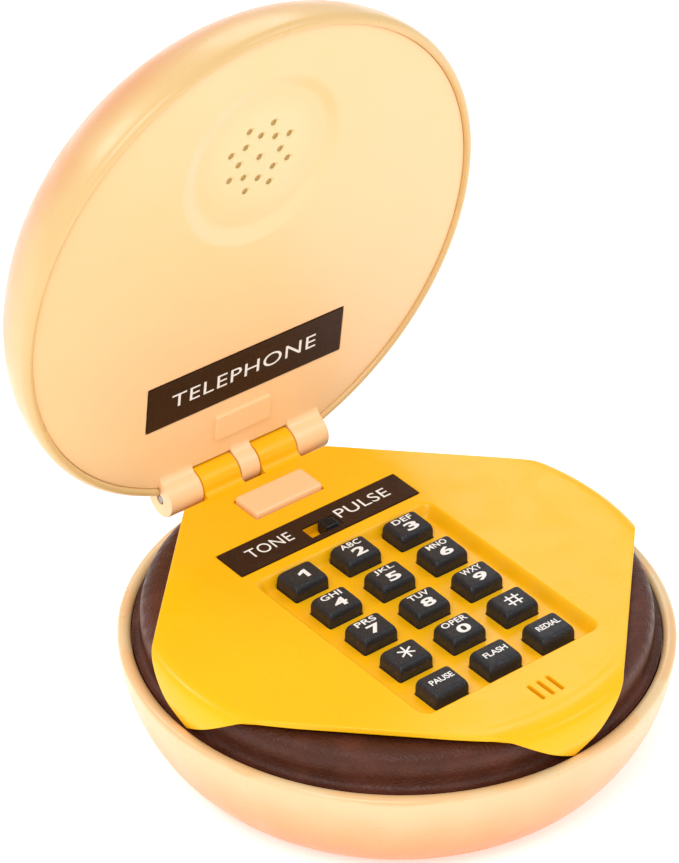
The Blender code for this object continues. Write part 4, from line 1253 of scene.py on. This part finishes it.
def make_crown():
    """The top bun: a domed shell whose lip curls in to meet the cover."""
    seat = COVER_RADIUS + LID_SEAM
    lip = 1.8
    profile = [(seat, COVER_Z + COVER_THICKNESS + GAP), (seat, LID_RIM_Z + 0.75)]
    profile += [(seat + 0.14, LID_RIM_Z + 0.4), (seat + 0.45, LID_RIM_Z + 0.1)]
    profile += arc((LID_RADIUS - lip, LID_RIM_Z + LID_WIDEST), (lip, LID_WIDEST), 270, 360, 10)
    steps = 60
    for step in range(1, steps + 1):
        turn = math.radians(89.7 * step / steps)
        height = LID_WIDEST + DOME_RISE * math.sin(turn)
        profile.append((LID_RADIUS * math.cos(turn), LID_RIM_Z + height))
    inside = []
    for step in range(0, 25):
        turn = math.radians(89.6 * step / 24)
        height = LID_WIDEST + (DOME_RISE - LID_WALL) * math.sin(turn)
        if height > 7:
            inside.append(((LID_RADIUS - LID_WALL) * math.cos(turn), LID_RIM_Z + height))
    profile.reverse()
    profile += [(66.0, COVER_Z + COVER_THICKNESS + GAP), (66.0, LID_RIM_Z + 5.6)]
    profile += inside
    crown = turned("crown_bun", profile, (0, LID_CENTRE_Y))
    reach = OUTER_KNUCKLE[1] + 0.5
    cut(crown, block("hinge_notch", -reach, reach, 57.5, 75, 42, HINGE_Z + KNUCKLE_RADIUS + 0.5))
    place(polish(crown), "lid", BUN_CROWN, "bun", ["top_bun"], lid=True)


def make_cover():
    """The lid's inner face: a flat disc with the earpiece's dish, sound holes and the hinge's knuckles."""
    x0, y0 = SPEAKER
    top = COVER_Z + COVER_THICKNESS

    def rim_reach(angle):
        """Distance from the dish's centre to the disc's rim."""
        dx, dy = math.cos(angle), math.sin(angle)
        along = dx * x0 + dy * (y0 - LID_CENTRE_Y)
        outside = x0 ** 2 + (y0 - LID_CENTRE_Y) ** 2 - COVER_RADIUS ** 2
        return -along + math.sqrt(along ** 2 - outside)

    angles = [2 * math.pi * step / ROUND_STEPS for step in range(ROUND_STEPS)]
    rings = []

    def dish_ring(radius, z):
        rings.append([(x0 + radius * math.cos(a), y0 + radius * math.sin(a), z) for a in angles])

    def rim_ring(inset, z):
        reaches = [rim_reach(a) - inset for a in angles]
        rings.append([(x0 + r * math.cos(a), y0 + r * math.sin(a), z) for a, r in zip(angles, reaches)])

    dish_ring(3.0, COVER_Z + DISH_DEPTH)
    dish_ring(DISH_FLAT - 1, COVER_Z + DISH_DEPTH)
    wall_steps = 14
    for step in range(wall_steps + 1):
        share = step / wall_steps
        radius = DISH_FLAT + (DISH_RADIUS - DISH_FLAT) * share
        dish_ring(radius, COVER_Z + DISH_DEPTH * (1 - smooth_step(share)))
    rim_ring(1.2, COVER_Z)
    edge = 0.25
    for turn in (0, 30, 60, 90):
        radians = math.radians(turn)
        rim_ring(edge * (1 - math.sin(radians)), COVER_Z + edge * (1 - math.cos(radians)))
    rim_ring(0.0, top)
    cover = loft("lid_face", rings)
    pad_sides = (-8.6, 8.6, 44.8, 52.4)
    pad = [(COVER_Z + 0.4, *pad_sides), (LID_RIM_Z + 0.3, *pad_sides)]
    pad += [(LID_RIM_Z + 0.09, *grown_sides(pad_sides, -0.09)), (LID_RIM_Z, *grown_sides(pad_sides, -0.3))]
    grow(cover, tower("pad", pad, 0.5))
    for side in (-1, 1):
        low, high = sorted((side * CENTRE_KNUCKLE, side * OUTER_KNUCKLE[0]))
        cut(cover, block("clearance", low, high, HINGE_Y - 5.5, 75, 40, 50))
    outline = lid_knuckle_outline()
    left_knuckle = (-OUTER_KNUCKLE[1], -OUTER_KNUCKLE[0])
    for low, high in (left_knuckle, (-CENTRE_KNUCKLE, CENTRE_KNUCKLE), OUTER_KNUCKLE):
        grow(cover, knuckle("knuckle", outline, low, high))
    holes = [round_bore("bore")]
    seat = grown_sides(footprint(shut_box("lid_label")), GAP)
    holes.append(socket_cutter("label_seat", seat, COVER_Z + 0.5, COVER_Z, 0.3, 0.12))
    for spot in sound_hole_spots():
        flared = [(1.45, COVER_Z + DISH_DEPTH - 1), (1.45, COVER_Z + DISH_DEPTH)]
        flared += [(0.86, COVER_Z + DISH_DEPTH + 0.4), (0.86, top + 1)]
        holes.append(turned("sound", flared, spot, 20))
    cut(cover, *holes)
    place(polish(cover), "lid", COVER_PEACH, "cover", ["lid_cover"], lid=True)


def sound_hole_spots():
    spots = [SPEAKER]
    for radius, turn in ((6.4, 0.0), (9.7, 22.5)):
        for index in range(8):
            angle = math.radians(turn + 45 * index)
            spots.append((SPEAKER[0] + radius * math.cos(angle), SPEAKER[1] + radius * math.sin(angle)))
    return spots


def make_dust_and_glow_screen():
    """A thin stiff disc of pressed fibre between the sound holes and the earpiece; its lit tan, seen through
    the holes, is painted light standing for the glow of the translucent plastic.
    """
    # painted light: the disc's tan shows in the sound holes in place of light glowing through the plastic
    back = COVER_Z + COVER_THICKNESS
    layers = [(11.6, back + 0.06), (11.9, back + 0.12), (11.9, back + 0.3), (11.6, back + 0.36)]
    place(polish(turned("dust_screen", layers, SPEAKER, 64)), "lid", FIBRE, "mat", lid=True)


def make_lid_label():
    low, high = shut_box("lid_label")
    plate = film_label("lid_nameplate", (low, high), high.z, low.z)
    place(polish(plate, 40), "lid", FILM, "label", ["lid_label"], lid=True)
    mesh = text_mesh("TELEPHONE", 0.0, 1.08)
    words = raised("nameplate_word", mesh, (-0.5, 33.1), (46.0, 4.2), low.z, upward=False, thickness=0.015)
    place(words, "lid", INK, lid=True)


# ---------------------------------------------------------------- CAD nodes that keep their shape

INNER_FINISHES = {             # every other inner node is steel
    "main_board": BOARD, "keypad_mat": MAT, "microphone_boot": RUBBER, "tone_pulse_switch": BLACK,
    "hook_switch": BLACK, "ringer_buzzer": BLACK, "ringer_switch": BLACK, "earpiece_retainer": BLACK,
}


def dress_inner_nodes():
    for node, thing in frame["nodes"].items():
        if not thing.hide_render:
            thing.data.materials.clear()
            thing.data.materials.append(INNER_FINISHES.get(node, STEEL))


# ---------------------------------------------------------------- camera, light and floor

CAMERA_AZIMUTH = -38.97        # degrees round from the front, towards -X
CAMERA_ELEVATION = 34.93
CAMERA_ROLL = 0.2827
CAMERA_PLACE = (-509.3, -606.4, 641.7)
CAMERA_LENS = 166.43


def add_camera():
    azimuth = math.radians(CAMERA_AZIMUTH)
    elevation = math.radians(CAMERA_ELEVATION)
    roll = math.radians(CAMERA_ROLL)
    level = math.cos(elevation)
    back = Vector((math.sin(azimuth) * level, -math.cos(azimuth) * level, math.sin(elevation)))
    right = Vector((math.cos(azimuth), math.sin(azimuth), 0))
    up = back.cross(right)
    level_right = math.cos(roll) * right + math.sin(roll) * up
    level_up = math.cos(roll) * up - math.sin(roll) * right
    turn = Matrix((level_right, level_up, back)).transposed().to_4x4()
    data = bpy.data.cameras.new("camera")
    data.lens = CAMERA_LENS
    data.sensor_width = 36.0
    data.clip_start = 0.05
    camera = linked("camera", data)
    camera.matrix_world = Matrix.Translation(Vector(CAMERA_PLACE) * MM) @ turn
    bpy.context.scene.camera = camera


LIGHT_TARGET = (0.0, 0.0, 0.05)
LIGHTS = [                     # name, place and diameter in metres, watts
    ("key_light", (-0.88, -0.60, 1.45), 0.8, 11.0),
    ("fill_light", (0.90, -0.88, 1.15), 0.65, 3.0),
    ("rim_light", (0.72, 1.12, 1.06), 0.8, 3.9),
    ("back_light", (-0.72, 1.15, 1.18), 0.5, 5.0),
]
FLOOR_REACH = 6000
FLOOR_Z = -0.08                # just under the rubber foot


def add_area_light(name, spot, size, watts):
    data = bpy.data.lights.new(name, "AREA")
    data.shape = "DISK"
    data.size = size
    data.energy = watts
    light = linked(name, data)
    light.location = spot
    light.rotation_euler = (Vector(LIGHT_TARGET) - Vector(spot)).to_track_quat("-Z", "Y").to_euler()


def add_studio():
    corners = [(x * FLOOR_REACH, y * FLOOR_REACH, FLOOR_Z) for x, y in ((-1, -1), (1, -1), (1, 1), (-1, 1))]
    floor = mesh_object("floor", corners, [(0, 1, 2, 3)])
    paper = Finish("paper", (0.93, 0.93, 0.93), 0.8)
    paper.set("Emission Color", (1.0, 1.0, 1.0))
    paper.set("Emission Strength", 0.45)
    paper.set("Base Color", paper.mix(paper.noise(60.0, 3.0), (0.92, 0.92, 0.92), (0.94, 0.94, 0.94)))
    floor.data.materials.append(paper.material)
    floor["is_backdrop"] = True
    world = bpy.data.worlds.new("studio")
    world.use_nodes = True
    background = world.node_tree.nodes["Background"]
    background.inputs["Color"].default_value = (1.0, 1.0, 1.0, 1.0)
    background.inputs["Strength"].default_value = 0.74
    bpy.context.scene.world = world
    for light in LIGHTS:
        add_area_light(*light)
    bpy.context.scene.view_settings.view_transform = "Standard"
    bpy.context.scene.view_settings.look = "None"


# ---------------------------------------------------------------- everything together

make_bun_base()
make_patty()
make_cheese()
make_switch_label()
make_keys()
make_hook_key()
make_tone_knob()
make_ringer_knob()
make_foot_pad()
for screw_number, screw_node in enumerate(BASE_SCREWS, 1):
    make_case_screw(screw_node, screw_number)
make_hinge_pin()
make_line_jack()
make_crown()
make_cover()
make_dust_and_glow_screen()
make_lid_label()
dress_inner_nodes()
add_camera()
add_studio()

boxes = {"cad": cad_bounds, "visual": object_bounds()}
{name: [list(corner) for corner in box] for name, box in boxes.items()}
